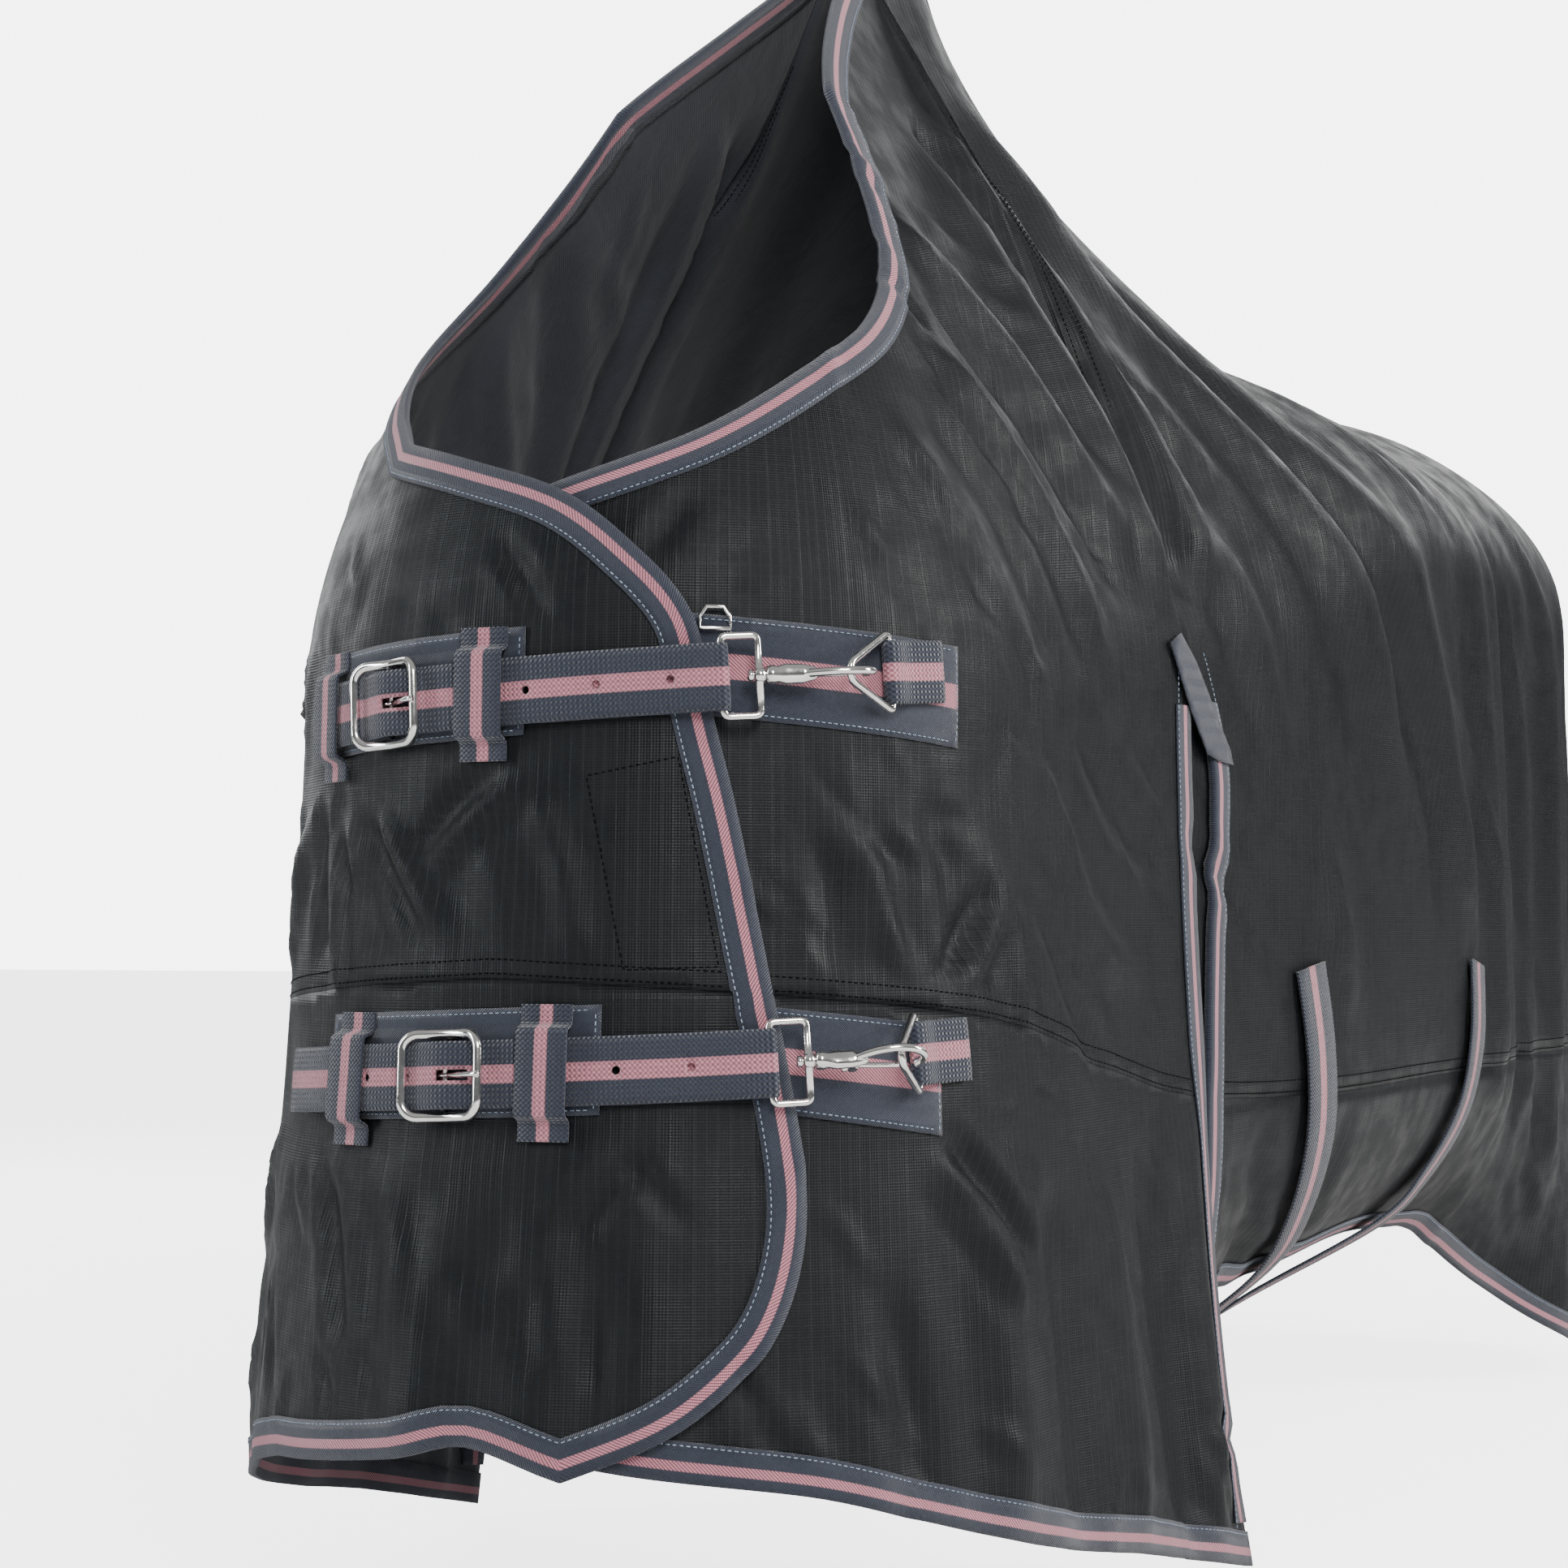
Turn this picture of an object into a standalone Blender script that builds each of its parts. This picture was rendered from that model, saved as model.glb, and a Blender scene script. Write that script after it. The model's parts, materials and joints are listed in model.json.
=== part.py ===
"""Turnout rug for a horse, standing as worn by a horse that faces -Y. +X is the near (left) side, +Z up.

Units are metres. The origin is on the horse's back, where the rug rests behind the withers.
"""
import math
from functools import lru_cache

import bpy
import numpy as np
from mathutils import Matrix, Vector
from mathutils.geometry import delaunay_2d_cdt

# ---- shape of the rug: station s runs from the chest midline (0) round the shoulder and back ----
CHEST_AXIS_Y = -0.62
CHEST_HALF_WIDTH = 0.252
CHEST_DEPTH = 0.30
CHEST_POWER = 2.2
QUARTER = 0.45
REAR = 1.99
GUSSET = 0.655
SPINE_HALF = 0.0045
SPINE = [(0, .30), (.72, .30), (.82, .205), (.94, .10), (1.07, .0), (1.22, -.013), (1.37, -.016),
         (1.55, .004), (1.85, .0), (1.99, -.05)]
HALF_WIDTH = [(0, .252), (.45, .252), (.66, .268), (.9, .305), (1.2, .335), (1.5, .335), (1.8, .31),
              (1.99, .26)]
HEM_FLARE = [(0, .048), (.45, .050), (.66, .045), (.82, .0), (1.5, .0), (1.99, .02)]
SPRING = [(0, -.36), (.45, -.36), (.8, -.30), (1.2, -.20), (1.99, -.20)]
ROUNDNESS = [(0, .1), (.3, .0), (.66, .0), (.8, .15), (.95, .5), (1.1, .85), (1.3, 1), (1.99, 1)]
TUCK = [(.66, 14), (.80, 48), (.95, 66), (1.35, 66), (1.6, 25), (1.75, 0), (1.99, 0)]
TUCK_FROM = 0.6595
TUCK_START = -0.60
HEM_FRONT = [(0, -.80), (.06, -.815), (.17, -.832), (.24, -.852), (.34, -.88), (.49, -.91), (.655, -.945)]
HEM_BODY = [(.655, -.80), (.8, -.79), (1.35, -.80), (1.6, -.86), (1.8, -.92), (1.99, -.92)]
SEAM = [(0, -.537), (.16, -.547), (.32, -.563), (.5, -.60), (.66, -.625), (.8, -.63), (1.99, -.62)]
NECK = [(0, -.248), (.1, -.214), (.2, -.158), (.27, -.122), (.34, -.075), (.40, -.005), (.46, .07),
        (.54, .14), (.62, .20), (.68, .25), (.72, .30)]
# front edge of the off-side panel, from its neckline round the bottom corner to the hem
FLAP_EDGE = [(-.09, -.203), (-.035, -.224), (.03, -.248), (.074, -.282), (.108, -.324), (.119, -.381),
             (.132, -.439), (.145, -.51), (.158, -.581), (.168, -.651), (.166, -.698), (.153, -.740),
             (.131, -.770), (.098, -.799), (.050, -.823)]
FLAP_HEM = [(0, -.806), (-.04, -.816), (-.10, -.824)]
FLAP_LIFT = 0.0075
UNDERLAP = -0.03

# ---- cloth and tape thicknesses ----
SHELL = 0.0010
LINING_TOP = -0.0013
LINING_LOW = -0.0021
TAPE = 0.0010
GAP = 0.0003
BIND = 0.022
WEB = 0.0018


def along(keys, t):
    """Smooth curve through the keys without overshoot."""
    xs = [k[0] for k in keys]
    ys = [k[1] for k in keys]
    n = len(xs)
    t = min(max(t, xs[0]), xs[-1])
    h = [xs[i + 1] - xs[i] for i in range(n - 1)]
    d = [(ys[i + 1] - ys[i]) / h[i] for i in range(n - 1)]
    m = [d[0]] + [0.0] * (n - 2) + [d[-1]]
    for i in range(1, n - 1):
        if d[i - 1] * d[i] > 0:
            m[i] = 2 * d[i - 1] * d[i] / (d[i - 1] + d[i])
    i = 0
    while i < n - 2 and t > xs[i + 1]:
        i += 1
    u = (t - xs[i]) / h[i]
    return ((2 * u**3 - 3 * u**2 + 1) * ys[i] + (u**3 - 2 * u * u + u) * h[i] * m[i]
            + (-2 * u**3 + 3 * u * u) * ys[i + 1] + (u**3 - u * u) * h[i] * m[i + 1])


def ease(t):
    t = min(max(t, 0.0), 1.0)
    return t * t * (3 - 2 * t)


def bearing(a):
    """Direction round the chest at station a, scaled to a half width of one."""
    th = math.pi / 2 * a / QUARTER
    r = ((math.sin(th) / CHEST_HALF_WIDTH) ** CHEST_POWER
         + (math.cos(th) / CHEST_DEPTH) ** CHEST_POWER) ** (-1 / CHEST_POWER) / CHEST_HALF_WIDTH
    return r * math.sin(th), r * math.cos(th)


@lru_cache(maxsize=200000)
def section(a):
    """Section at station a: cloth height, half width and height, from the hem up to the spine."""
    w, top, spring = along(HALF_WIDTH, a), along(SPINE, a), along(SPRING, a)
    round_, flare = along(ROUNDNESS, a), along(HEM_FLARE, a)
    tuck = math.radians(along(TUCK, a)) if a > TUCK_FROM else 0.0
    down = np.linspace(0, 0.80, 81)
    tilt = tuck * np.clip((spring - down - TUCK_START) / -0.24, 0, 1)
    width = w + flare * (down / 0.62) ** 1.5
    step = np.diff(down)
    width[1:] -= np.cumsum(np.sin(tilt[1:]) * step)
    height = np.concatenate([[spring], spring - np.cumsum(np.cos(tilt[1:]) * step)])
    q = np.sin(np.linspace(0, math.pi / 2, 120))
    shape = (1 - round_) * (1 - 3 * q**2 + 2 * q**3) + round_ * np.clip(1 - q**2.1, 0, 1) ** (1 / 2.1)
    up_width = SPINE_HALF + (w - SPINE_HALF) * shape
    up_height = spring + (top - spring) * q
    stretch = math.hypot(*bearing(a)) if a < QUARTER else 1.0
    arc = np.concatenate([[0], np.cumsum(np.hypot(np.diff(up_width) * stretch, np.diff(up_height)))])
    v = np.concatenate([(spring - down)[::-1], spring + arc[1:]])
    return v, np.concatenate([width[::-1], up_width[1:]]), np.concatenate([height[::-1], up_height[1:]])


def skin(s, v):
    """Point on the outer face of the cloth at station s (minus on the off side) and cloth height v."""
    a = abs(s)
    vs, ws, zs = section(round(a, 6))
    k = float(np.interp(v, vs, ws))
    z = float(np.interp(v, vs, zs))
    if a < QUARTER:
        ex, ey = bearing(a)
        x, y = ex * k, CHEST_AXIS_Y - ey * k
    else:
        x, y = k, CHEST_AXIS_Y + a - QUARTER
    return np.array([x if s >= 0 else -x, y, z])


def cloth_height(s, z):
    """Cloth height v of the point at height z above the tucked part."""
    vs, _, zs = section(round(abs(s), 6))
    keep = vs > TUCK_START
    return float(np.interp(z, zs[keep], vs[keep])) if z > TUCK_START else z


def top_of(s):
    return float(section(round(abs(s), 6))[0][-1])


# ======================= points and patterns =======================

@lru_cache(maxsize=200000)
def normal_at(s, v):
    e = 0.004
    n = np.cross(skin(s + e, v) - skin(s - e, v), skin(s, v + e) - skin(s, v - e))
    return n / np.linalg.norm(n)


def at(s, v, lift=0.0):
    """Point at a height above the outer face of the cloth."""
    return skin(s, v) + lift * normal_at(round(s, 6), round(v, 6))


def material(name, colour, metallic, roughness):
    mat = bpy.data.materials.new(name)
    mat.use_nodes = True
    bsdf = mat.node_tree.nodes["Principled BSDF"]
    bsdf.inputs["Base Color"].default_value = (*colour, 1)
    bsdf.inputs["Metallic"].default_value = metallic
    bsdf.inputs["Roughness"].default_value = roughness
    return mat


def new_object(name, verts, faces, mat, smooth=False):
    mesh = bpy.data.meshes.new(name)
    mesh.from_pydata([tuple(map(float, p)) for p in verts], [], faces)
    mesh.validate()
    mesh.polygons.foreach_set("use_smooth", [smooth] * len(mesh.polygons))
    mesh.materials.append(mat)
    obj = bpy.data.objects.new(name, mesh)
    RUG.objects.link(obj)
    return obj


# ---- flat patterns in (s, v) ----
def inside(poly, pts):
    x, y = pts[:, 0], pts[:, 1]
    hit = np.zeros(len(pts), bool)
    for (x0, y0), (x1, y1) in zip(poly, poly[1:] + poly[:1]):
        if y0 != y1:
            hit ^= ((y0 > y) != (y1 > y)) & (x < (x1 - x0) * (y - y0) / (y1 - y0) + x0)
    return hit


def gap_to(pts, line):
    best = np.full(len(pts), 1e9)
    for a, b in zip(line, line[1:]):
        a, b = np.array(a), np.array(b)
        d = b - a
        t = np.clip((pts - a) @ d / max(d @ d, 1e-12), 0, 1)
        best = np.minimum(best, np.linalg.norm(pts - a - t[:, None] * d, axis=1))
    return best


def fill(outline, spacing, holes=(), lines=()):
    """Triangles that fill a flat outline, with holes left out and the given lines kept as edges.

    spacing is the distance between inner points, as one number or as (along s, along v).
    """
    loops = [list(outline)] + [list(h) for h in holes]
    xs, ys = zip(*outline)
    dx, dy = spacing if isinstance(spacing, tuple) else (spacing, spacing)
    spacing = min(dx, dy)
    nx = max(1, round((max(xs) - min(xs)) / dx))
    ny = max(1, round((max(ys) - min(ys)) / dy))
    grid = np.array([(x, y) for x in np.linspace(min(xs), max(xs), nx + 1)
                     for y in np.linspace(min(ys), max(ys), ny + 1)])
    keep = inside(loops[0], grid)
    for loop in loops:
        keep &= gap_to(grid, loop + loop[:1]) > 0.55 * spacing
    for hole in loops[1:]:
        keep &= ~inside(hole, grid)
    for line in lines:
        keep &= gap_to(grid, line) > 0.55 * spacing
    pts, edges = [], []
    for loop in loops:
        start = len(pts)
        pts += loop
        edges += [(start + i, start + (i + 1) % len(loop)) for i in range(len(loop))]
    for line in lines:
        start = len(pts)
        pts += line
        edges += [(start + i, start + i + 1) for i in range(len(line) - 1)]
    pts += [tuple(p) for p in grid[keep]]
    out = delaunay_2d_cdt([Vector(p) for p in pts], edges, [], 0, 1e-6)
    flat = [(p.x, p.y) for p in out[0]]
    tris = [list(f) for f in out[2]]
    centre = np.array([np.mean([flat[i] for i in t], axis=0) for t in tris])
    use = inside(loops[0], centre)
    for hole in loops[1:]:
        use &= ~inside(hole, centre)
    area = lambda t: abs((flat[t[1]][0] - flat[t[0]][0]) * (flat[t[2]][1] - flat[t[0]][1])
                         - (flat[t[2]][0] - flat[t[0]][0]) * (flat[t[1]][1] - flat[t[0]][1]))
    tris = [t for t, ok in zip(tris, use) if ok and area(t) > 1e-9]
    ccw = []
    for a, b, c in tris:
        (x0, y0), (x1, y1), (x2, y2) = flat[a], flat[b], flat[c]
        ccw.append([a, b, c] if (x1 - x0) * (y2 - y0) > (x2 - x0) * (y1 - y0) else [a, c, b])
    used = sorted({i for t in ccw for i in t})
    index = {old: new for new, old in enumerate(used)}
    return [flat[i] for i in used], [[index[i] for i in t] for t in ccw]


def join(*fills):
    """Two patterns that share an edge, as one."""
    verts, index, tris = [], {}, []
    for pts, faces in fills:
        local = []
        for p in pts:
            key = (round(p[0], 5), round(p[1], 5))
            if key not in index:
                index[key] = len(verts)
                verts.append(p)
            local.append(index[key])
        tris += [[local[i] for i in t] for t in faces]
    return verts, tris


def plate(name, pattern, place, low, high, mat):
    """Closed slab over a flat pattern; place(u, w, lift) puts a pattern point in space."""
    flat, tris = pattern
    n = len(flat)
    verts = [place(u, w, high) for u, w in flat] + [place(u, w, low) for u, w in flat]
    faces = [list(t) for t in tris] + [[i + n for i in reversed(t)] for t in tris]
    once = {}
    for t in tris:
        for a, b in zip(t, t[1:] + t[:1]):
            if (b, a) in once:
                del once[(b, a)]
            else:
                once[(a, b)] = True
    faces += [[b, a, a + n, b + n] for a, b in once]
    return new_object(name, verts, faces, mat)


def nudge(pattern, line, shift):
    """Moves the pattern points that lie on a seam line away from it, which opens the seam gap."""
    flat, tris = pattern
    flat = [(s + shift[0], v + shift[1]) if line(s, v) else (s, v) for s, v in flat]
    return flat, tris


def samples(start, end, step):
    n = max(1, math.ceil(abs(end - start) / step))
    return [start + (end - start) * i / n for i in range(n + 1)]


def inward(points, width):
    """The line a width inside a counter-clockwise edge line, measured on the cloth."""
    result = []
    space = [skin(*p) for p in points]
    for i, (s, v) in enumerate(points):
        a, b = max(i - 1, 0), min(i + 1, len(points) - 1)
        mitre = 1.0
        if a < i < b:
            into, off = space[i] - space[a], space[b] - space[i]
            into, off = into / np.linalg.norm(into), off / np.linalg.norm(off)
            mitre = min(1.45, 1 / max(0.3, float(np.linalg.norm(into + off)) / 2))
            t_space = into + off
        else:
            t_space = space[b] - space[a]
        e = 0.003
        js = (skin(s + e, v) - skin(s - e, v)) / (2 * e)
        jv = (skin(s, v + e) - skin(s, v - e)) / (2 * e)
        if np.linalg.norm(jv) < 0.9:
            jv = (skin(s, v) - skin(s, v - e)) / e
        b = np.cross(np.cross(js, jv), t_space)
        b *= width * mitre / np.linalg.norm(b)
        d = np.linalg.lstsq(np.stack([js, jv], axis=1), b, rcond=None)[0]
        result.append((s + float(d[0]), v + float(d[1])))
    return result


def round_line(points, step):
    """Smooth line through the points, sampled at about the given step."""
    p = [np.array(q, float) for q in points]
    p = [2 * p[0] - p[1]] + p + [2 * p[-1] - p[-2]]
    out = [tuple(p[1])]
    for i in range(1, len(p) - 2):
        n = max(1, round(float(np.linalg.norm(p[i + 1] - p[i])) / step))
        for k in range(1, n + 1):
            t = k / n
            out.append(tuple(0.5 * (2 * p[i] + (p[i + 1] - p[i - 1]) * t
                                    + (2 * p[i - 1] - 5 * p[i] + 4 * p[i + 1] - p[i + 2]) * t * t
                                    + (3 * p[i] - p[i - 1] - 3 * p[i + 1] + p[i + 2]) * t**3)))
    return out


def trimmed(rings, start, end):
    """Cuts a length off each end of a row of rings; a negative whole number drops that many rings."""
    for length in (start, end):
        if length < 0:
            rings, length = rings[-length:], 0
        while length > 0:
            step = float(np.linalg.norm(rings[1][0] - rings[0][0]))
            if step > length:
                t = length / step
                rings[0] = [p + (q - p) * t for p, q in zip(rings[0], rings[1])]
                break
            length -= step
            rings = rings[1:]
        rings = rings[::-1]
    return rings


def binding(name, edge, inner, base, mat, start, end, flips):
    """Tape folded over a cut edge, covering both faces of the cloth."""
    gap, low = 0.0006, LINING_LOW
    rings, faces = [], []
    for (s, v), (si, vi) in zip(edge, inner):
        lift_e, lift_i = base(s), base(si)
        out = at(s, v, lift_e) - at(si, vi, lift_i)
        out /= np.linalg.norm(out)
        ring = [at(si, vi, lift_i + gap + TAPE), at(s, v, lift_e + gap + TAPE) + out * (gap + TAPE),
                at(s, v, lift_e + low - gap - TAPE) + out * (gap + TAPE),
                at(si, vi, lift_i + low - gap - TAPE), at(si, vi, lift_i + low - gap),
                at(s, v, lift_e + low - gap) + out * gap, at(s, v, lift_e + gap) + out * gap,
                at(si, vi, lift_i + gap)]
        rings.append(ring)
    count = len(rings)
    dropped = count - len(trimmed(rings, start, 0.0))
    rings = trimmed(rings, start, end)
    verts = [p for ring in rings for p in ring]
    for i in range(len(rings) - 1):
        flip = flips[i + dropped]
        for k in range(8):
            a, b = i * 8 + k, i * 8 + (k + 1) % 8
            edge_first = k in (2, 6)
            if k in (0, 2, 4, 6) and edge_first != flip:
                faces += [[a, a + 8, b + 8], [a, b + 8, b]]
            elif k in (0, 2, 4, 6):
                faces += [[a, a + 8, b], [b, a + 8, b + 8]]
            else:
                faces.append([a, a + 8, b + 8, b])
    n = (len(rings) - 1) * 8
    faces += [[1, 2, 5, 6], [0, 1, 6, 7], [2, 3, 4, 5],
              [n + 6, n + 5, n + 2, n + 1], [n + 7, n + 6, n + 1, n], [n + 5, n + 4, n + 3, n + 2]]
    obj = new_object(name, verts, faces, mat)
    outward(obj)
    return obj


def outward(obj):
    """Turns every face of a closed mesh outward."""
    mesh = obj.data
    p = [v.co for v in mesh.vertices]
    total = 0.0
    for f in mesh.polygons:
        q = [p[i] for i in f.vertices]
        total += sum(q[0].dot(q[i].cross(q[i + 1])) for i in range(1, len(q) - 1))
    if total < 0:
        mesh.flip_normals()


def flat_base(s):
    return 0.0


def flap_base(s):
    """Extra height of the off-side front panel where it crosses over the near side."""
    return FLAP_LIFT * ease((s + 0.16) / 0.10)


# ---- rows, straps and wires ----
def sweep(name, rings, mat, closed=False):
    """Closed tube through rings of points, with flat ends unless it closes on itself."""
    m = len(rings[0])
    verts = [p for ring in rings for p in ring]
    n = len(rings)
    faces = []
    for i in range(n if closed else n - 1):
        j = (i + 1) % n
        for k in range(m):
            faces.append([i * m + k, i * m + (k + 1) % m, j * m + (k + 1) % m, j * m + k])
    if not closed:
        faces += [list(range(m))[::-1], list(range((n - 1) * m, n * m))]
    obj = new_object(name, verts, faces, mat)
    outward(obj)
    return obj


def frame_on(s, v, lift, turn=0.0):
    """Matrix on the cloth: x runs back along the station, y up the cloth, z out of it."""
    n = normal_at(round(s, 6), round(v, 6))
    up = skin(s, v + 0.004) - skin(s, v - 0.004)
    x = np.cross(up, n)
    x /= np.linalg.norm(x)
    y = np.cross(n, x)
    x, y = x * math.cos(turn) + y * math.sin(turn), y * math.cos(turn) - x * math.sin(turn)
    o = at(s, v, lift)
    return Matrix([[x[i], y[i], n[i], o[i]] for i in range(3)] + [[0, 0, 0, 1]])


def world(matrix, x, y, z):
    return np.array(matrix @ Vector((x, y, z)))


class Path:
    """Webbing laid along a line; u is the distance along it, w across it, h out from its lower face."""

    def __init__(self, points, normals):
        self.pts = np.array(points)
        self.nrm = np.array(normals)
        self.u = np.concatenate([[0], np.cumsum(np.linalg.norm(np.diff(self.pts, axis=0), axis=1))])

    def length(self):
        return float(self.u[-1])

    def pick(self, rows, u):
        return np.array([np.interp(u, self.u, rows[:, i]) for i in range(3)])

    def frame(self, u):
        t = self.pick(self.pts, min(u + 0.0015, self.u[-1])) - self.pick(self.pts, max(u - 0.0015, 0))
        t /= np.linalg.norm(t)
        n = self.pick(self.nrm, u)
        n -= t * (n @ t)
        n /= np.linalg.norm(n)
        return self.pick(self.pts, u), t, np.cross(n, t), n

    def place(self, u, w, h):
        p, _, across, n = self.frame(u)
        return p + across * w + n * h

    def matrix(self, u, h=0.0):
        p, t, a, n = self.frame(u)
        p = p + n * h
        return Matrix([[t[i], a[i], n[i], p[i]] for i in range(3)] + [[0, 0, 0, 1]])

    def web(self, name, stations, width, thick, mat, holes=()):
        """Closed webbing over the stations, with holes given as outlines in (u, w)."""
        half = width / 2
        outline = [(u, -half) for u in stations] + [(u, half) for u in stations[::-1]]
        lines = []
        for u in stations[1:-1]:
            if all(u < min(p[0] for p in h) - .0005 or u > max(p[0] for p in h) + .0005 for h in holes):
                lines.append([(u, -half), (u, half)])
        pattern = fill(outline, 1.0, holes, lines)
        return plate(name, pattern, self.place, 0.0, thick, mat)


def wire(name, points, radius, mat, closed=True, bend=0.0, around=8):
    """Round wire through points, with its corners rounded."""
    if bend:
        rounded = []
        n = len(points)
        for i, p in enumerate(points):
            p = np.array(p, float)
            if not closed and i in (0, n - 1):
                rounded.append(p)
                continue
            a, b = np.array(points[i - 1], float) - p, np.array(points[(i + 1) % n], float) - p
            r = min(bend, 0.49 * np.linalg.norm(a), 0.49 * np.linalg.norm(b))
            a, b = p + a / np.linalg.norm(a) * r, p + b / np.linalg.norm(b) * r
            for k in range(4):
                t = k / 3
                rounded.append(a * (1 - t) ** 2 + p * 2 * t * (1 - t) + b * t * t)
        points = rounded
    points = [np.array(p, float) for p in points]
    n = len(points)
    rings = []
    side = None
    for i, p in enumerate(points):
        if closed:
            t = points[(i + 1) % n] - points[i - 1]
        else:
            t = points[min(i + 1, n - 1)] - points[max(i - 1, 0)]
        t /= np.linalg.norm(t)
        if side is None:
            side = np.cross(t, [0.31, 0.2, 0.93])
        side = side - t * (side @ t)
        side /= np.linalg.norm(side)
        up = np.cross(t, side)
        rings.append([p + radius * (side * math.cos(a) + up * math.sin(a))
                      for a in [2 * math.pi * (k + 0.5) / around for k in range(around)]])
    if closed:
        # match the last ring to the first one after going round the loop
        last, first = rings[-1], rings[0]
        shift = min(range(around), key=lambda k: sum(
            np.linalg.norm(np.array(last[(j + k) % around]) - first[j]) for j in range(around)))
        if shift:
            twist = 2 * math.pi * shift / around
            turned = []
            for i, ring in enumerate(rings):
                centre = np.mean(ring, axis=0)
                a = twist * i / (n - 1)
                x, y = ring[0] - centre, ring[around // 4] - centre
                turned.append([centre + x * math.cos(a + 2 * math.pi * k / around)
                               + y * math.sin(a + 2 * math.pi * k / around) for k in range(around)])
            rings = turned
    return sweep(name, rings, mat, closed)


def apply_matrix(obj, matrix):
    obj.data.transform(matrix)
    return obj


def cylinder(name, start, end, radius, mat, around=20):
    start, end = np.array(start, float), np.array(end, float)
    t = (end - start) / np.linalg.norm(end - start)
    side = np.cross(t, [0.31, 0.2, 0.93])
    side /= np.linalg.norm(side)
    up = np.cross(t, side)
    ring = [side * math.cos(a) + up * math.sin(a) for a in
            [2 * math.pi * k / around for k in range(around)]]
    return sweep(name, [[p + radius * r for r in ring] for p in (start, end)], mat)


def combine(obj, other, operation="UNION"):
    """Boolean of one part with a helper solid, which moves to the cutters."""
    mod = obj.modifiers.new(other.name, "BOOLEAN")
    mod.operation = operation
    mod.solver = "EXACT"
    mod.object = other
    for collection in list(other.users_collection):
        collection.objects.unlink(other)
    CUTTERS.objects.link(other)
    other.hide_render = True
    other.display_type = "WIRE"
    return obj


# ======================= cloth =======================
NECK_S = [.72, .70, .68, GUSSET, .63, .60, .57, .54, .51, .48, .45, .42, .39, .36, .33, .30, .27, .24, .20,
          .16, .12, .08, .04, UNDERLAP + BIND, UNDERLAP]
CREST_TURN = 0.748
SEAM_CROSS = 0.1515
FRONT_S = [UNDERLAP, UNDERLAP + BIND, .03, .07, .11, .15, .19, .23, .27, .31, .35, .39, .43, .47, .51, .55, .595,
           GUSSET - BIND, GUSSET]
BODY_FRONT = 0.664
BODY_S = [BODY_FRONT, BODY_FRONT + BIND, .73, .79, .85, .92, 1.0, 1.1, 1.2, 1.3, 1.4, 1.48, 1.56, 1.64, 1.72, 1.81,
          1.9, REAR]
SPINE_S = [.72, CREST_TURN, .775, .81, .85, .90, .95, 1.0, 1.06, 1.12, 1.2, 1.3, 1.4, 1.5, 1.6, 1.7, 1.8, 1.9,
           REAR - BIND, REAR]
BODY_EDGE = [(BODY_FRONT, -.69), (BODY_FRONT, -.625), (.672, -.57), (.682, -.51), (.692, -.45),
             (.697, -.395), (.682, -.35), (.660, -.31)]
SLIT_TOP = -.31
SHOULDER_V = [-.25, -.19, -.13, -.07, -.01, .05]


def neck_line(s):
    return cloth_height(s, along(NECK, abs(s)))


def seam_point(s):
    return (s, along(SEAM, abs(s)))


def on_seam(s, v):
    return abs(v - along(SEAM, abs(s))) < 2e-6


def at_gusset(s, v):
    return abs(abs(s) - GUSSET) < 1e-6 and v > SLIT_TOP - 1e-6


def within(line, outline):
    """The part of a line that lies clear inside an outline, or on one of its corners."""
    pts = np.array(line)
    rim = list(outline)
    clear = inside(rim, pts) & (gap_to(pts, rim + [rim[0]]) > 0.006)
    corner = np.array([min(abs(p[0] - q[0]) + abs(p[1] - q[1]) for q in rim) < 1e-6 for p in line])
    return [p for p, good in zip(line, clear | corner) if good]


def mirrored(pattern):
    flat, tris = pattern
    return [(-s, v) for s, v in flat], [t[::-1] for t in tris]


def mirror_line(line):
    return [(-s, v) for s, v in line][::-1]


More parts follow.
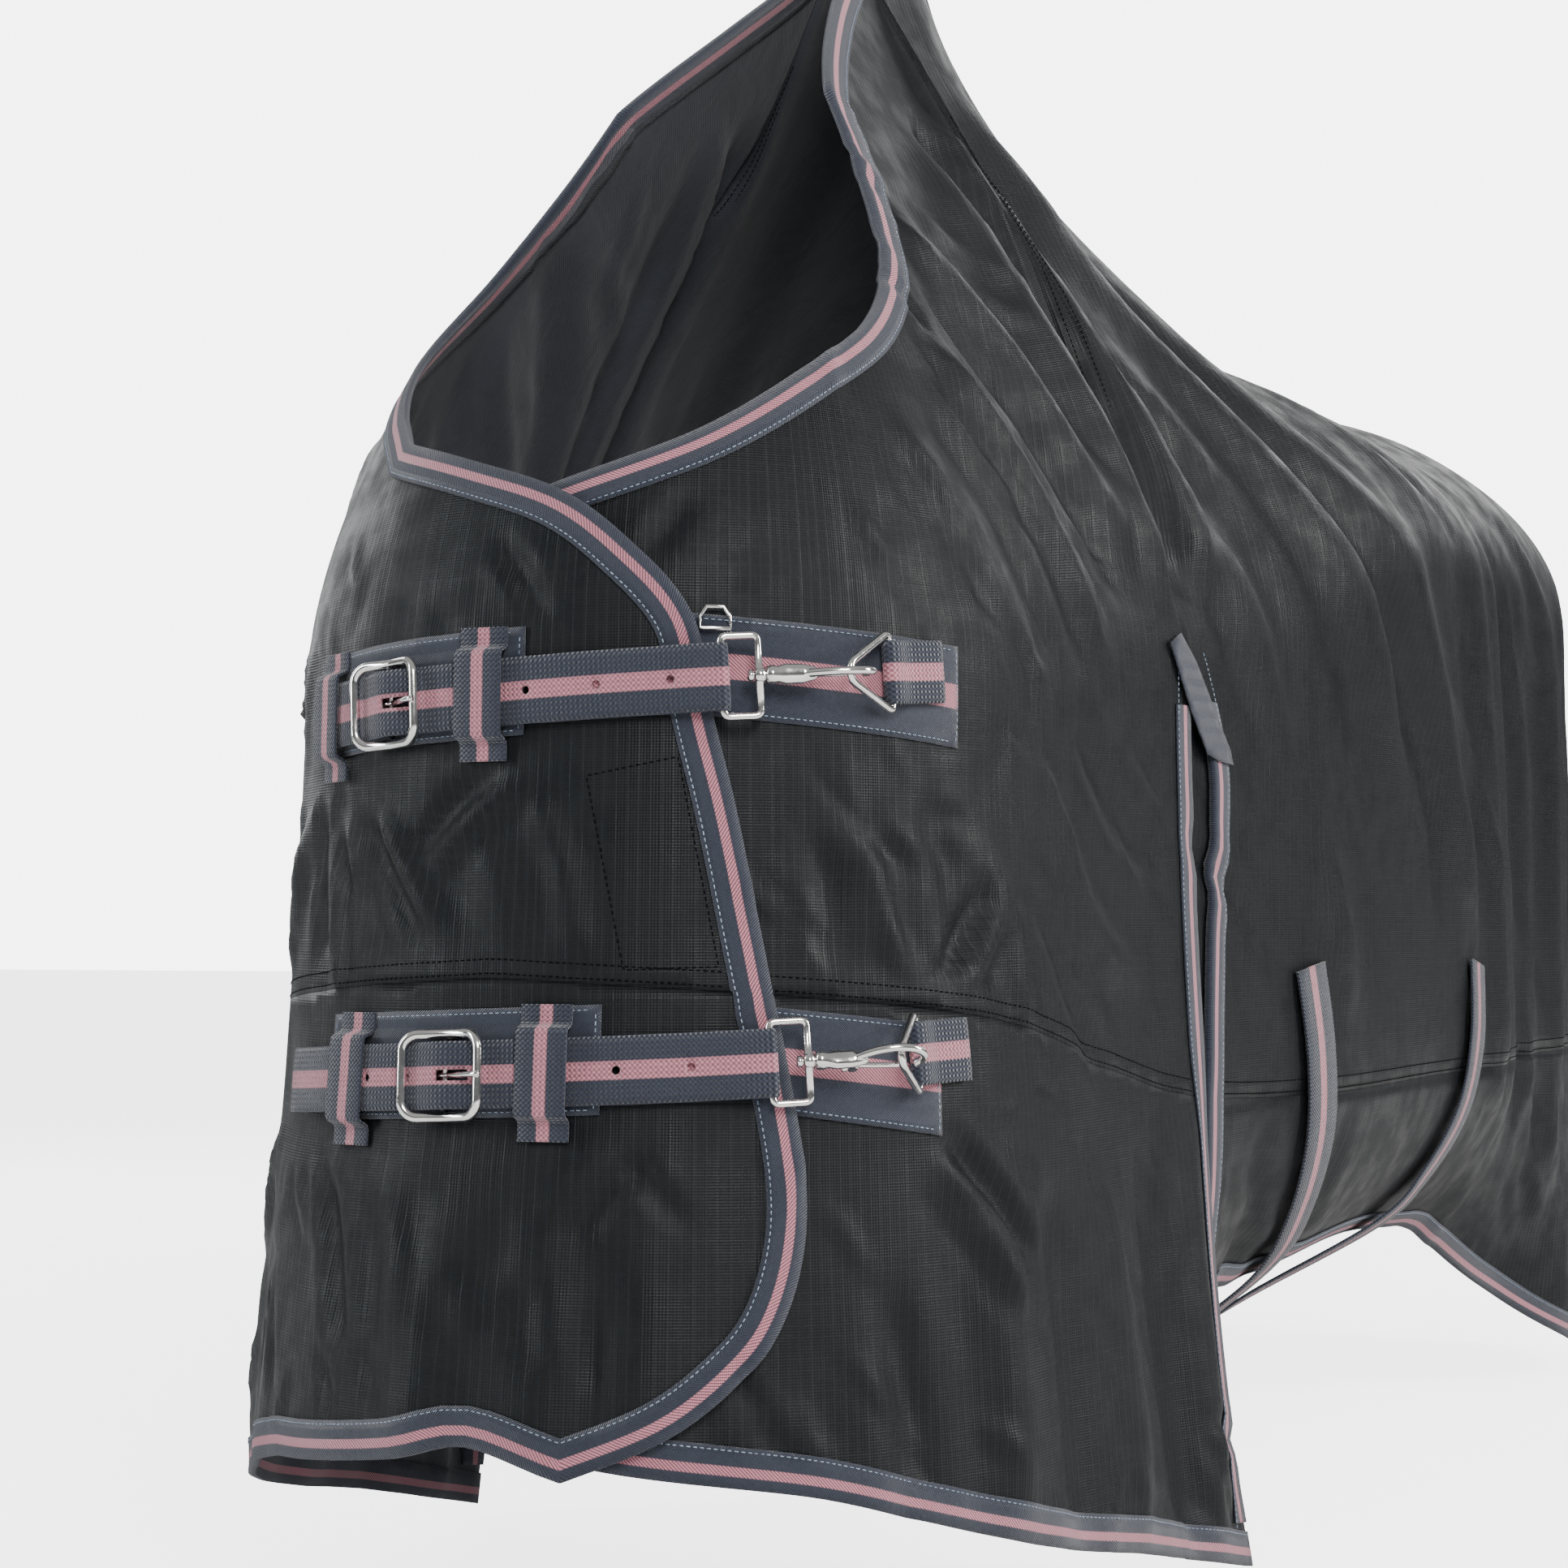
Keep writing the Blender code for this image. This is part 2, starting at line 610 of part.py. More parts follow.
@lru_cache(maxsize=1)
def edges():
    """Each bound edge as (edge line, line one tape width inside it), counter-clockwise about its cloth."""
    e = {}
    neck = [(s, neck_line(s)) for s in NECK_S]
    neck_in = inward(neck, BIND)
    neck_in[0] = (CREST_TURN, top_of(CREST_TURN))
    g = NECK_S.index(GUSSET)
    (s0, v0), (s1, v1) = sorted([neck_in[g - 1], neck_in[g + 1]])
    neck_in[g] = (GUSSET, v0 + (v1 - v0) * (GUSSET - s0) / (s1 - s0))
    for k in (-2, -1):
        neck_in[k] = (neck[k][0], neck[k][1] - BIND * 1.06)
    e["neck"] = neck, neck_in
    hem_v = lambda s: along(HEM_FRONT, max(s, 0))
    low, side_v = hem_v(UNDERLAP), (-.30, -.36, -.42, -.48)
    under_v = [neck[-1][1], neck_in[-1][1]] + list(side_v) + [seam_point(UNDERLAP)[1]] \
        + [-.60, -.66, -.72, low + BIND, low]
    under = [(UNDERLAP, v) for v in under_v]
    seam_in = seam_point(UNDERLAP + BIND)
    under_in = [neck_in[-2]] + [(UNDERLAP + BIND, v) for v in side_v] + [seam_in] \
        + [(UNDERLAP + BIND, v) for v in (-.60, -.66, -.72)] + [(UNDERLAP + BIND, low + BIND)]
    e["under"] = under[1:-1], under_in
    e["under_all"] = under, None
    hem = [(s, hem_v(s)) for s in FRONT_S]
    e["hem"] = hem, [(s, v + BIND) for s, v in hem]
    low = hem[-1][1]
    slit_v = [low, low + BIND, -.86, -.80, -.74, -.68, seam_point(GUSSET)[1], -.57, -.51, -.45, -.395, -.35,
              SLIT_TOP]
    e["slit_all"] = [(GUSSET, v) for v in slit_v], None
    e["slit"] = [(GUSSET, v) for v in slit_v[1:]], [(GUSSET - BIND, hem[-2][1] + BIND)] \
        + [(GUSSET - BIND, v) for v in slit_v[2:6]] + [seam_point(GUSSET - BIND)] \
        + [(GUSSET - BIND, v) for v in slit_v[7:]]
    cross = seam_point(SEAM_CROSS)
    keys = [(-.12, neck_line(-.12))] + FLAP_EDGE[1:8] + [cross] + FLAP_EDGE[8:]
    flap = round_line(keys, 0.026)[::-1]
    k = min(range(len(flap)), key=lambda i: abs(flap[i][0] - cross[0]) + abs(flap[i][1] - cross[1]))
    flap[k] = cross
    off_hem = [(-s, hem_v(s)) for s in FRONT_S[::-1] if s >= .15] + FLAP_HEM[::-1]
    off_neck = [(-s, neck_line(s)) for s in NECK_S[::-1] if s >= .16]
    whole = off_hem + flap + off_neck
    whole_in = inward(whole, BIND)
    for i, (s, v) in enumerate(whole):
        if s < -0.145 and v < -0.7:
            whole_in[i] = (s, v + BIND)
        if s <= -0.16 and v > -0.3:
            whole_in[i] = (-neck_in[NECK_S.index(-s)][0], neck_in[NECK_S.index(-s)][1])
    c = whole.index(cross)
    whole_in[c] = seam_point(whole_in[c][0])
    e["off"] = whole, whole_in, [i >= len(whole) - len(off_neck) for i in range(len(whole) - 1)]
    e["off_parts"] = off_hem, flap, off_neck, whole_in[c]
    body = BODY_EDGE[::-1] + [(BODY_FRONT, -.74), (BODY_FRONT, along(HEM_BODY, BODY_FRONT) + BIND)]
    body_in = [(s + BIND, v) for s, v in body]
    b = next(i for i, p in enumerate(body) if p == (BODY_FRONT, -.625))
    body[b], body_in[b] = seam_point(BODY_FRONT), seam_point(BODY_FRONT + BIND)
    body_in[-1] = (BODY_FRONT + BIND, along(HEM_BODY, BODY_FRONT + BIND) + BIND)
    e["body_front"] = body, body_in
    hem = [(s, along(HEM_BODY, s)) for s in BODY_S]
    seam_v, top = seam_point(REAR)[1], top_of(REAR)
    rear_v = samples(hem[-1][1], seam_v, 0.08)[1:] + samples(seam_v, top, 0.08)[1:]
    rear = [(REAR, v) for v in rear_v]
    rear_in = [(REAR - BIND, v) for v in rear_v]
    rear_in[rear_v.index(seam_v)] = seam_point(REAR - BIND)
    rear_in[-1] = (REAR - BIND, top_of(REAR - BIND))
    e["body_hem"] = hem + rear, [(s, v + BIND) for s, v in hem[:-1]] + [(REAR - BIND, hem[-1][1] + BIND)] + rear_in
    e["body_parts"] = hem, rear, None
    return e


def band(line, inner, flips=()):
    """Lines that split the strip between a bound edge and its inner line into fixed triangles."""
    lines = [inner]
    for i in range(len(line)):
        lines.append([line[i], inner[i]])
        if i + 1 < len(line):
            flip = bool(flips) and flips[i]
            lines.append([line[i + 1], inner[i]] if flip else [line[i], inner[i + 1]])
    return lines


def cut(outline, spacing, bands):
    lines = [x for b in bands for x in b]
    whole = [w for x in lines for w in [within(x, outline)] if len(w) > 1 and (len(x) > 2 or len(w) == len(x))]
    return fill(outline, spacing, (), whole)


def front_patterns():
    """Flat patterns of the front panels: near upper, near lower, off upper, off lower."""
    e = edges()
    neck, neck_in = e["neck"]
    under, slit, hem = e["under_all"][0], e["slit_all"][0], e["hem"][0]
    off_hem, flap, off_neck, flap_seam_in = e["off_parts"]
    seam = [seam_point(s) for s in FRONT_S]
    g = NECK_S.index(GUSSET)
    shoulder = [(GUSSET, v) for v in SHOULDER_V if v < neck_in[g][1] - 0.02] + [neck_in[g]]
    neck_near = [p for p in neck if p[0] <= GUSSET]
    tall = lambda line, level: [p for p in line if p[1] > level + 0.001]
    low = lambda line, level: [p for p in line if p[1] < level - 0.001]
    slit_up, slit_low = tall(slit, seam[-1][1]), low(slit, seam[-1][1])[1:]
    under_up, under_low = tall(under, seam[0][1])[1:], low(under, seam[0][1])[:-1]
    lines = [band(*e[k]) for k in ("neck", "under", "hem", "slit")]
    near = [cut(seam + slit_up + shoulder + neck_near + under_up, (0.038, 0.075), lines),
            cut(hem + slit_low + seam[::-1] + under_low, (0.038, 0.075), lines)]
    cross = seam_point(SEAM_CROSS)
    k = flap.index(cross)
    off_seam = [seam_point(-s) for s in FRONT_S[::-1] if s > 0.015] + [seam_point(s) for s in (0.0, .03, .07, .10)] \
        + [flap_seam_in, cross]
    slit_band = [[(-s, v) for s, v in line] for line in band(*e["slit"])]
    lines = [band(*e["off"]), slit_band]
    upper = off_seam + flap[k + 1:] + [p for p in off_neck if p[0] >= -GUSSET] \
        + mirror_line(shoulder) + mirror_line(slit_up)
    lower = off_hem + flap[:k] + off_seam[::-1] + mirror_line(slit_low)
    return near + [cut(upper, (0.038, 0.075), lines), cut(lower, (0.038, 0.075), lines)]


def body_patterns():
    e = edges()
    neck, neck_in = e["neck"]
    hem, rear, _ = e["body_parts"]
    seam = [seam_point(s) for s in BODY_S[:-1]] + [seam_point(REAR - BIND), seam_point(REAR)]
    rear_up = [p for p in rear if p[1] > seam[-1][1] + .001]
    rear_low = [p for p in rear if p[1] < seam[-1][1] - .001]
    spine = [(s, top_of(s)) for s in SPINE_S[-2:0:-1]]
    g = NECK_S.index(GUSSET)
    shoulder = [(GUSSET, v) for v in SHOULDER_V if v < neck_in[g][1] - 0.02] + [neck_in[g]]
    front = e["body_front"][0]
    down = shoulder[::-1] + [(GUSSET, SLIT_TOP)] + [p for p in front if p[1] > seam[0][1] + .001][1:]
    front_low = [p for p in front if p[1] < seam[0][1] - .001]
    lines = [band(*e["body_hem"]), band(neck, neck_in), band(*e["body_front"])]
    upper = seam + rear_up + spine + neck[:g + 1] + down
    lower = hem + rear_low + seam[::-1] + front_low
    return [cut(upper, (0.10, 0.062), lines), cut(lower, (0.10, 0.062), lines)]


def on_cloth(base):
    return lambda s, v, lift: at(s, v, base(s) + lift)


def make_cloth():
    near_up, near_low, off_up, off_low = front_patterns()
    body_up, body_low = body_patterns()
    flat_, flap_ = on_cloth(flat_base), on_cloth(flap_base)

    def sew(pattern, seam_side, gusset_side):
        pattern = nudge(pattern, on_seam, (0, seam_side * GAP / 2))
        return nudge(pattern, at_gusset, (gusset_side * GAP / 2, 0))

    def panel(name, pattern, place, seam_side, gusset_side):
        plate(name, sew(pattern, seam_side, gusset_side), place, -SHELL, 0.0, SHELL_CLOTH)

    def lining(name, pattern, place, side):
        plate(name, sew(pattern, 0, side), place, LINING_LOW, LINING_TOP, LINING_CLOTH)

    panel("front_upper_near", near_up, flat_, 1, -1)
    panel("front_lower_near", near_low, flat_, -1, 0)
    panel("front_upper_off", off_up, flap_, 1, 1)
    panel("front_lower_off", off_low, flap_, -1, 0)
    panel("body_upper_near", body_up, flat_, 1, 1)
    panel("body_lower_near", body_low, flat_, -1, 0)
    panel("body_upper_off", mirrored(body_up), flat_, 1, -1)
    panel("body_lower_off", mirrored(body_low), flat_, -1, 0)
    lining("lining_front_near", join(near_up, near_low), flat_, -1)
    lining("lining_front_off", join(off_up, off_low), flap_, 1)
    body = join(body_up, body_low)
    lining("lining_body_near", body, flat_, 1)
    lining("lining_body_off", mirrored(body), flat_, -1)
    gusset = fill([(.640, -.595), (.665, -.595), (.690, -.595), (.700, -.53), (.715, -.46), (.722, -.395),
                   (.705, -.34), (.672, -.29), (.652, -.29), (.645, -.36), (.640, -.44), (.640, -.52)], 0.04)
    plate("gusset_near", gusset, flat_, -0.0060, -0.0052, SHELL_CLOTH)
    plate("gusset_off", mirrored(gusset), flat_, -0.0060, -0.0052, SHELL_CLOTH)


def make_bindings():
    e = edges()

    def bind(name, key, base, start=0.0, end=0.0, mirror=False):
        line, inner = e[key][:2]
        flips = e[key][2] if len(e[key]) > 2 else [False] * (len(line) - 1)
        if mirror:
            line, inner = mirror_line(line), mirror_line(inner)
            flips = [not f for f in flips[::-1]]
            start, end = end, start
        binding(name, line, inner, base, BINDING_TAPE, start, end, flips)

    bind("neck_binding_near", "neck", flat_base)
    bind("front_binding_near", "under", flat_base, 0.004, 0.004)
    bind("hem_binding_front_near", "hem", flat_base)
    bind("front_binding_off", "off", flap_base)
    bind("gusset_binding_front_near", "slit", flat_base, 0.004, -1)
    bind("gusset_binding_front_off", "slit", flap_base, 0.004, -1, True)
    bind("gusset_binding_rear_near", "body_front", flat_base, -1, 0.004)
    bind("gusset_binding_rear_off", "body_front", flat_base, -1, 0.004, True)
    bind("hem_binding_body_near", "body_hem", flat_base, 0.0, 0.014)
    bind("hem_binding_body_off", "body_hem", flat_base, 0.0, 0.014, True)
    cap = fill([(.621, -.308), (.640, -.300), (.662, -.318), (.692, -.350), (.717, -.379), (.721, -.389),
                (.700, -.387), (.680, -.383), (.655, -.356), (.636, -.332)], 0.03)
    plate("gusset_cap_near", cap, on_cloth(flat_base), 0.0030, 0.0040, BINDING_TAPE)
    plate("gusset_cap_off", mirrored(cap), on_cloth(flat_base), 0.0030, 0.0040, BINDING_TAPE)


def make_spine():
    """Back seam strip from the top of the neck to the tail."""
    rings = []
    for s in SPINE_S[2:-1]:
        v = top_of(s)
        y = CHEST_AXIS_Y + s - QUARTER
        z = float(skin(s, v)[2])
        flip = np.array([-1, 1, 1])
        near = [at(s, v - 0.010, 0.0024), at(s, v, 0.0018), np.array([0, y, z + 0.0046])]
        low = [np.array([0, y, z + 0.0034]), at(s, v, 0.0006), at(s, v - 0.010, 0.0012)]
        rings.append(near + [near[1] * flip, near[0] * flip, low[2] * flip, low[1] * flip] + low)
    sweep("spine_seam", rings, SHELL_CLOTH)


def roof(s, x):
    """Height of the cloth at station s and distance x from the middle, on top of the rump."""
    vs, ws, zs = section(round(s, 6))
    top = vs >= along(SPRING, s)
    return float(np.interp(abs(x), ws[top][::-1], zs[top][::-1]))


def make_tail_flap():
    edge_y = CHEST_AXIS_Y + REAR - QUARTER + 0.0016 + 0.0004

    def place(x, w, lift):
        lift += 0.0046
        s = REAR - 0.030 + w
        if w < 0.030:
            return np.array([x, CHEST_AXIS_Y + s - QUARTER, roof(s, x) + lift])
        w -= 0.030
        r = 0.016
        if w < r * math.pi / 2:
            a = w / r
            return np.array([x, edge_y + (r + lift) * math.sin(a),
                             roof(REAR, x) - r + (r + lift) * math.cos(a)])
        w -= r * math.pi / 2
        return np.array([x, edge_y + r + lift + 0.05 * w, roof(REAR, x) - r - w])

    xs = [-.150, -.10, -.05, 0, .05, .10, .150]
    outline = [(x, 0) for x in xs] + [(.150, w) for w in (.03, .042, .055, .12, .19, .26)] \
        + [(.135, .31), (.10, .33), (.05, .335), (0, .335), (-.05, .335), (-.10, .33), (-.135, .31)] \
        + [(-.150, w) for w in (.26, .19, .12, .055, .042, .03)]
    lines = [[(x, w) for x in (-.12, -.07, -.02, .02, .07, .12)] for w in (.030, .042, .055)]
    flat, tris = fill(outline, 0.05, (), lines)
    obj = plate("tail_flap", (flat, tris), place, 0.0, 0.0016, SHELL_CLOTH)
    outward(obj)


def make_velcro():
    pattern = fill([(.052, -.418), (.070, -.414), (.087, -.411), (.102, -.407), (.108, -.438), (.113, -.468),
                    (.119, -.50), (.124, -.53), (.107, -.5305), (.090, -.531), (.074, -.531), (.068, -.503),
                    (.063, -.475), (.057, -.446)], 0.018)
    plate("velcro_hook_patch", pattern, on_cloth(flap_base), -0.0052, -0.0042, VELCRO)
    plate("velcro_loop_patch", pattern, on_cloth(flat_base), 0.0006, 0.0015, VELCRO)


# ======================= chest straps =======================
STRAP_WIDTH = 0.040
TAB_WIDTH = 0.038
BAR = 0.0022
EYE_WIRE = 0.0023
RING_WIRE = 0.0025
RING_LENGTH = 0.040
HOOK_REACH = 0.077


def circle(u, w, radius, n=10):
    return [(u + radius * math.cos(2 * math.pi * k / n), w + radius * math.sin(2 * math.pi * k / n))
            for k in range(n)]


def box_hole(u0, u1, half, steps=6):
    row = [u0 + (u1 - u0) * k / steps for k in range(steps + 1)]
    return [(u, -half) for u in row] + [(u, half) for u in row[::-1]]


def folded(height, start, fold, end, radius, lower, upper):
    """Webbing that lies flat, turns back round a bar at station fold, and returns on top.

    It runs from station start at the lower height to the fold and back to station end at the
    upper height. height(s) is the cloth line, radius the inside radius of the turn.
    """
    pts, nrm = [], []
    side = 1 if fold > start else -1
    for s in np.linspace(start, fold, 24):
        v, base = height(s)
        n = normal_at(round(s, 6), round(v, 6))
        pts.append(at(s, v, base + lower(s)))
        nrm.append(-n)
    v, base = height(fold)
    n = normal_at(round(fold, 6), round(v, 6))
    t = at(fold + 0.002 * side, height(fold + 0.002 * side)[0]) - at(fold, v)
    t /= np.linalg.norm(t)
    centre = at(fold, v, base + lower(fold) + radius)
    for a in np.linspace(0, math.pi, 13)[1:-1]:
        d = -n * math.cos(a) + t * math.sin(a)
        pts.append(centre + d * radius)
        nrm.append(d)
    for s in np.linspace(fold, end, 24):
        v, base = height(s)
        k = normal_at(round(s, 6), round(v, 6))
        pts.append(at(s, v, base + upper(s)))
        nrm.append(k)
    return Path(pts, nrm), centre, t, n


def chest_strap(tag, line, tip, outer, buckle, inner, eye, back, tilt, roll, ring_guess, slot_holes):
    """One complete chest strap. line(s) is its height on the cloth; the rest are stations."""
    def level(s):
        return line(s), flap_base(s)

    def strap_height(s):
        right = ease((s - buckle - 0.03) / 0.03)
        bump = 0.0060 * math.exp(-((s - buckle) / 0.014) ** 2)
        return 0.0064 - 0.0015 * right + bump + 0.0056 * ease((s - eye + 0.045) / 0.045)

    def back_height(s):
        low = strap_height(eye) - 2 * (EYE_WIRE + GAP)
        return low + (0.0040 - low) * ease((eye - s - 0.004) / 0.014)

    # strap: its free end, the run to the hook eye, the turn round the eye and the short way back
    pts, nrm = [], []
    for s in np.linspace(tip, eye, 90):
        v, base = level(s)
        pts.append(at(s, v, base + strap_height(s)))
        nrm.append(normal_at(round(s, 6), round(v, 6)))
    run = Path(pts, nrm).length()
    v, base = level(eye)
    n = nrm[-1]
    t = pts[-1] - pts[-2]
    t /= np.linalg.norm(t)
    n = n - t * (n @ t)
    n /= np.linalg.norm(n)
    r0 = EYE_WIRE + GAP
    centre = pts[-1] - n * r0
    for a in np.linspace(0, math.pi, 13)[1:-1]:
        d = n * math.cos(a) + t * math.sin(a)
        pts.append(centre + d * r0)
        nrm.append(d)
    for s in np.linspace(eye, back, 24):
        v, base = level(s)
        k = normal_at(round(s, 6), round(v, 6))
        pts.append(at(s, v, base + back_height(s)))
        nrm.append(-k)
    path = Path(pts, nrm)
    spot = lambda s: run * float(np.interp(s, np.linspace(tip, eye, 90), path.u[:90] / path.u[89]))
    ub = spot(buckle)
    holes = [circle(spot(s), 0, 0.0025) for s in slot_holes]
    holes.append(box_hole(ub - 0.002, ub + 0.018, 0.0032))
    turn = path.u[89] + math.pi * r0
    stations = sorted(set([0, 0.012] + samples(0.012, run - 0.004, 0.011)[1:]
                          + samples(run, turn, 0.002) + samples(turn + 0.004, path.length(), 0.012)))
    path.web(tag + "_strap", stations, STRAP_WIDTH, WEB, WEBBING, holes)

    # buckle frame, with its centre bar under the strap
    v, base = level(buckle)
    bar_lift = base + 0.0067
    at_buckle = path.matrix(ub)
    origin = Vector(at(buckle, v, bar_lift))
    place = at_buckle.copy()
    place.translation = origin
    rise = 0.0058
    points = []
    for cx, cy, a0 in ((1, 1, 0), (-1, 1, 90), (-1, -1, 180), (1, -1, 270)):
        for k in range(5):
            a = math.radians(a0 + 22.5 * k)
            x, y = cx * 0.017 + 0.010 * math.cos(a), cy * 0.0145 + 0.010 * math.sin(a)
            points.append((x, y, rise * (abs(x) / 0.027) ** 1.6))
        points.append({0: (0, 0.0245, 0), 90: (-0.027, 0, rise), 180: (0, -0.0245, 0),
                       270: (0.027, 0, rise)}[a0])
    frame = wire(tag + "_buckle_frame", points, 0.0030, CHROME)
    bar = cylinder(tag + "_bar_helper", (0, -0.0243, 0), (0, 0.0243, 0), BAR, CHROME, 12)
    for o in (frame, bar):
        apply_matrix(o, place)
    combine(frame, bar)

    # tongue round the centre bar, its point resting on the side bar
    loop = wire(tag + "_buckle_tongue", [(0.0036 * math.cos(a), 0, 0.0036 * math.sin(a))
                                         for a in np.linspace(0, 2 * math.pi, 13)[:-1]], 0.0011, CHROME)
    rod = wire(tag + "_rod_helper", [(0.0030, 0, 0.0018), (0.012, 0, 0.0050), (0.022, 0, 0.0093),
                                     (0.0290, 0, 0.0112), (0.0315, 0, 0.0104)], 0.0017, CHROME, False)
    for o in (loop, rod):
        apply_matrix(o, place)
    combine(loop, rod)

    # tab: holds the centre bar to the patch
    lower = lambda s: 0.0039
    end = buckle - 0.036
    gap_up = lambda s: 0.0043 + 0.0052 * (1 - ease((buckle - s - 0.001) / 0.015))
    tab, _, _, _ = folded(level, end, buckle, end, BAR + 0.0006, lower, gap_up)
    mid = tab.u[23] + math.pi * (BAR + 0.0006) / 2
    tab_stations = sorted(set(samples(0, tab.u[23] - 0.003, 0.012) + samples(tab.u[23], 2 * mid - tab.u[23], 0.002)
                              + samples(2 * mid - tab.u[23] + 0.003, tab.length(), 0.008)))
    tab.web(tag + "_buckle_tab", tab_stations, TAB_WIDTH, 0.0016, WEBBING,
            [box_hole(mid - 0.010, mid + 0.010, 0.0052)])

    # keepers
    for name, s0 in (("_keeper_outer", outer), ("_keeper_inner", inner)):
        v, base = level(s0)
        m = frame_on(s0, v, base + 0.0010)
        arch = [(-0.040, 0.0019), (-0.030, 0.0019), (-0.0265, 0.0045), (-0.0245, 0.0088), (-0.020, 0.0098),
                (0, 0.0098), (0.020, 0.0098), (0.0245, 0.0088), (0.0265, 0.0045), (0.030, 0.0019),
                (0.040, 0.0019)]
        rings = []
        for i, (y, z) in enumerate(arch):
            a, b = arch[max(i - 1, 0)], arch[min(i + 1, len(arch) - 1)]
            d = np.array([b[0] - a[0], b[1] - a[1]])
            d /= np.linalg.norm(d)
            out = np.array([-d[1], d[0]]) * 0.0016
            rings.append([world(m, x, yy, zz) for x, yy, zz in
                          [(-0.016, y, z), (0.016, y, z), (0.016, y + out[0], z + out[1]),
                           (-0.016, y + out[0], z + out[1])]])
        sweep(tag + name, rings, WEBBING)

    # swivel eye on the strap end
    m = Matrix([[t[i], np.cross(n, t)[i], n[i], centre[i]] for i in range(3)] + [[0, 0, 0, 1]])
    m = m @ Matrix.Rotation(-tilt, 4, "Y")
    ring = wire(tag + "_snap_eye", [(0, -0.0238, 0), (0.022, -0.0238, 0), (0.022, 0.0238, 0), (0, 0.0238, 0)],
                EYE_WIRE, CHROME, True, 0.004)
    boss = cylinder(tag + "_boss_helper", (0.0195, 0, 0), (0.0255, 0, 0), 0.0046, CHROME, 12)
    bore = cylinder(tag + "_bore_helper", (0.0150, 0, 0), (0.0300, 0, 0), 0.0021, CHROME, 12)
    for o in (ring, boss, bore):
        apply_matrix(o, m)
    combine(ring, boss)
    combine(ring, bore, "DIFFERENCE")

    # hook body, turned about the swivel
    mr = m @ Matrix.Rotation(roll, 4, "X")
    head = sweep(tag + "_snap_body", [[(x, r * math.cos(a), r * k * math.sin(a)) for a in
                                       [2 * math.pi * (j + .5) / 10 for j in range(10)]]
                                      for x, r, k in ((.0150, .0022, 1), (.0158, .0034, 1), (.0182, .0034, 1),
                                                      (.0190, .0018, 1), (.0262, .0018, 1), (.0264, .0052, 1),
                                                      (.0300, .0058, 1), (.0330, .0050, .9),
                                                      (.0380, .0062, .62), (.0480, .0058, .60),
                                                      (.0550, .0040, .70), (.0575, .0020, 1))], CHROME)
    crook = wire(tag + "_crook_helper", [(.050, 0, .0006), (.057, 0, .0052), (.066, 0, .0085), (.075, 0, .0094),
                                         (.084, 0, .0072), (.0895, 0, .0020), (.0900, 0, -.0040),
                                         (.0865, 0, -.0088)], 0.0026, CHROME, False)
    ears = cylinder(tag + "_ears_helper", (.0480, -.0046, -.0045), (.0480, .0046, -.0045), 0.0030, CHROME, 12)
    notch = cylinder(tag + "_notch_helper", (.0480, -.0026, -.0045), (.0480, .0026, -.0045), 0.0041, CHROME, 12)
    pin = cylinder(tag + "_pin_helper", (.0480, -.0036, -.0045), (.0480, .0036, -.0045), 0.0012, CHROME, 10)
    for o in (head, crook, ears, notch, pin):
        apply_matrix(o, mr)
    combine(head, crook)
    combine(head, ears)
    combine(head, notch, "DIFFERENCE")
    combine(head, pin)

    # gate: the sprung lever that closes the hook
    hub = cylinder(tag + "_snap_gate", (.0480, -.0022, -.0045), (.0480, .0022, -.0045), 0.0034, CHROME, 14)
    arm = wire(tag + "_arm_helper", [(.0490, 0, -.0062), (.056, 0, -.0078), (.068, 0, -.0090),
                                     (.0800, 0, -.0096)], 0.0017, CHROME, False)
    thumb = wire(tag + "_thumb_helper", [(.0500, 0, -.0068), (.0475, 0, -.0095), (.0430, 0, -.0112)],
                 0.0017, CHROME, False)
    eye_hole = cylinder(tag + "_hub_helper", (.0480, -.004, -.0045), (.0480, .004, -.0045), 0.0015, CHROME, 10)
    for o in (hub, arm, thumb, eye_hole):
        apply_matrix(o, mr)
    combine(hub, arm)
    combine(hub, thumb)
    combine(hub, eye_hole, "DIFFERENCE")

    # triangle ring: its point sits in the hook, its base in the tab
    target = Vector(world(m, HOOK_REACH, 0, 0.0008))
    reach = RING_LENGTH - 0.0005
    lo, hi = ring_guess, ring_guess + 0.10
    for _ in range(40):
        s0 = (lo + hi) / 2
        base_point = Vector(at(s0, line(s0), 0.0070))
        lo, hi = (s0, hi) if (base_point - target).length < reach else (lo, s0)
    x_axis = (base_point - target).normalized()
    y_axis = Vector(np.cross(n, t))
    y_axis = (y_axis - x_axis * y_axis.dot(x_axis)).normalized()
    z_axis = x_axis.cross(y_axis)
    rm = Matrix([[x_axis[i], y_axis[i], z_axis[i], base_point[i]] for i in range(3)] + [[0, 0, 0, 1]])
    tri = wire(tag + "_triangle_ring", [(0, -0.0240, 0), (0, 0.0240, 0), (-RING_LENGTH, 0.0050, 0),
                                        (-RING_LENGTH, -0.0050, 0)], RING_WIRE, CHROME, True, 0.006)
    apply_matrix(tri, rm)
    flat_level = lambda s: (line(s), 0.0)
    rise_up = lambda s: 0.0043 + 0.0058 * (1 - ease((s - s0 - 0.001) / 0.016))
    tab_r, _, _, _ = folded(flat_level, s0 + 0.042, s0, s0 + 0.042, RING_WIRE + 0.0006, lower, rise_up)
    k = tab_r.u[23]
    turn = math.pi * (RING_WIRE + 0.0006)
    ring_stations = sorted(set(samples(0, k - 0.003, 0.012) + samples(k, k + turn, 0.002)
                               + samples(k + turn + 0.003, tab_r.length(), 0.008)))
    tab_r.web(tag + "_ring_tab", ring_stations, TAB_WIDTH, 0.0016, WEBBING)
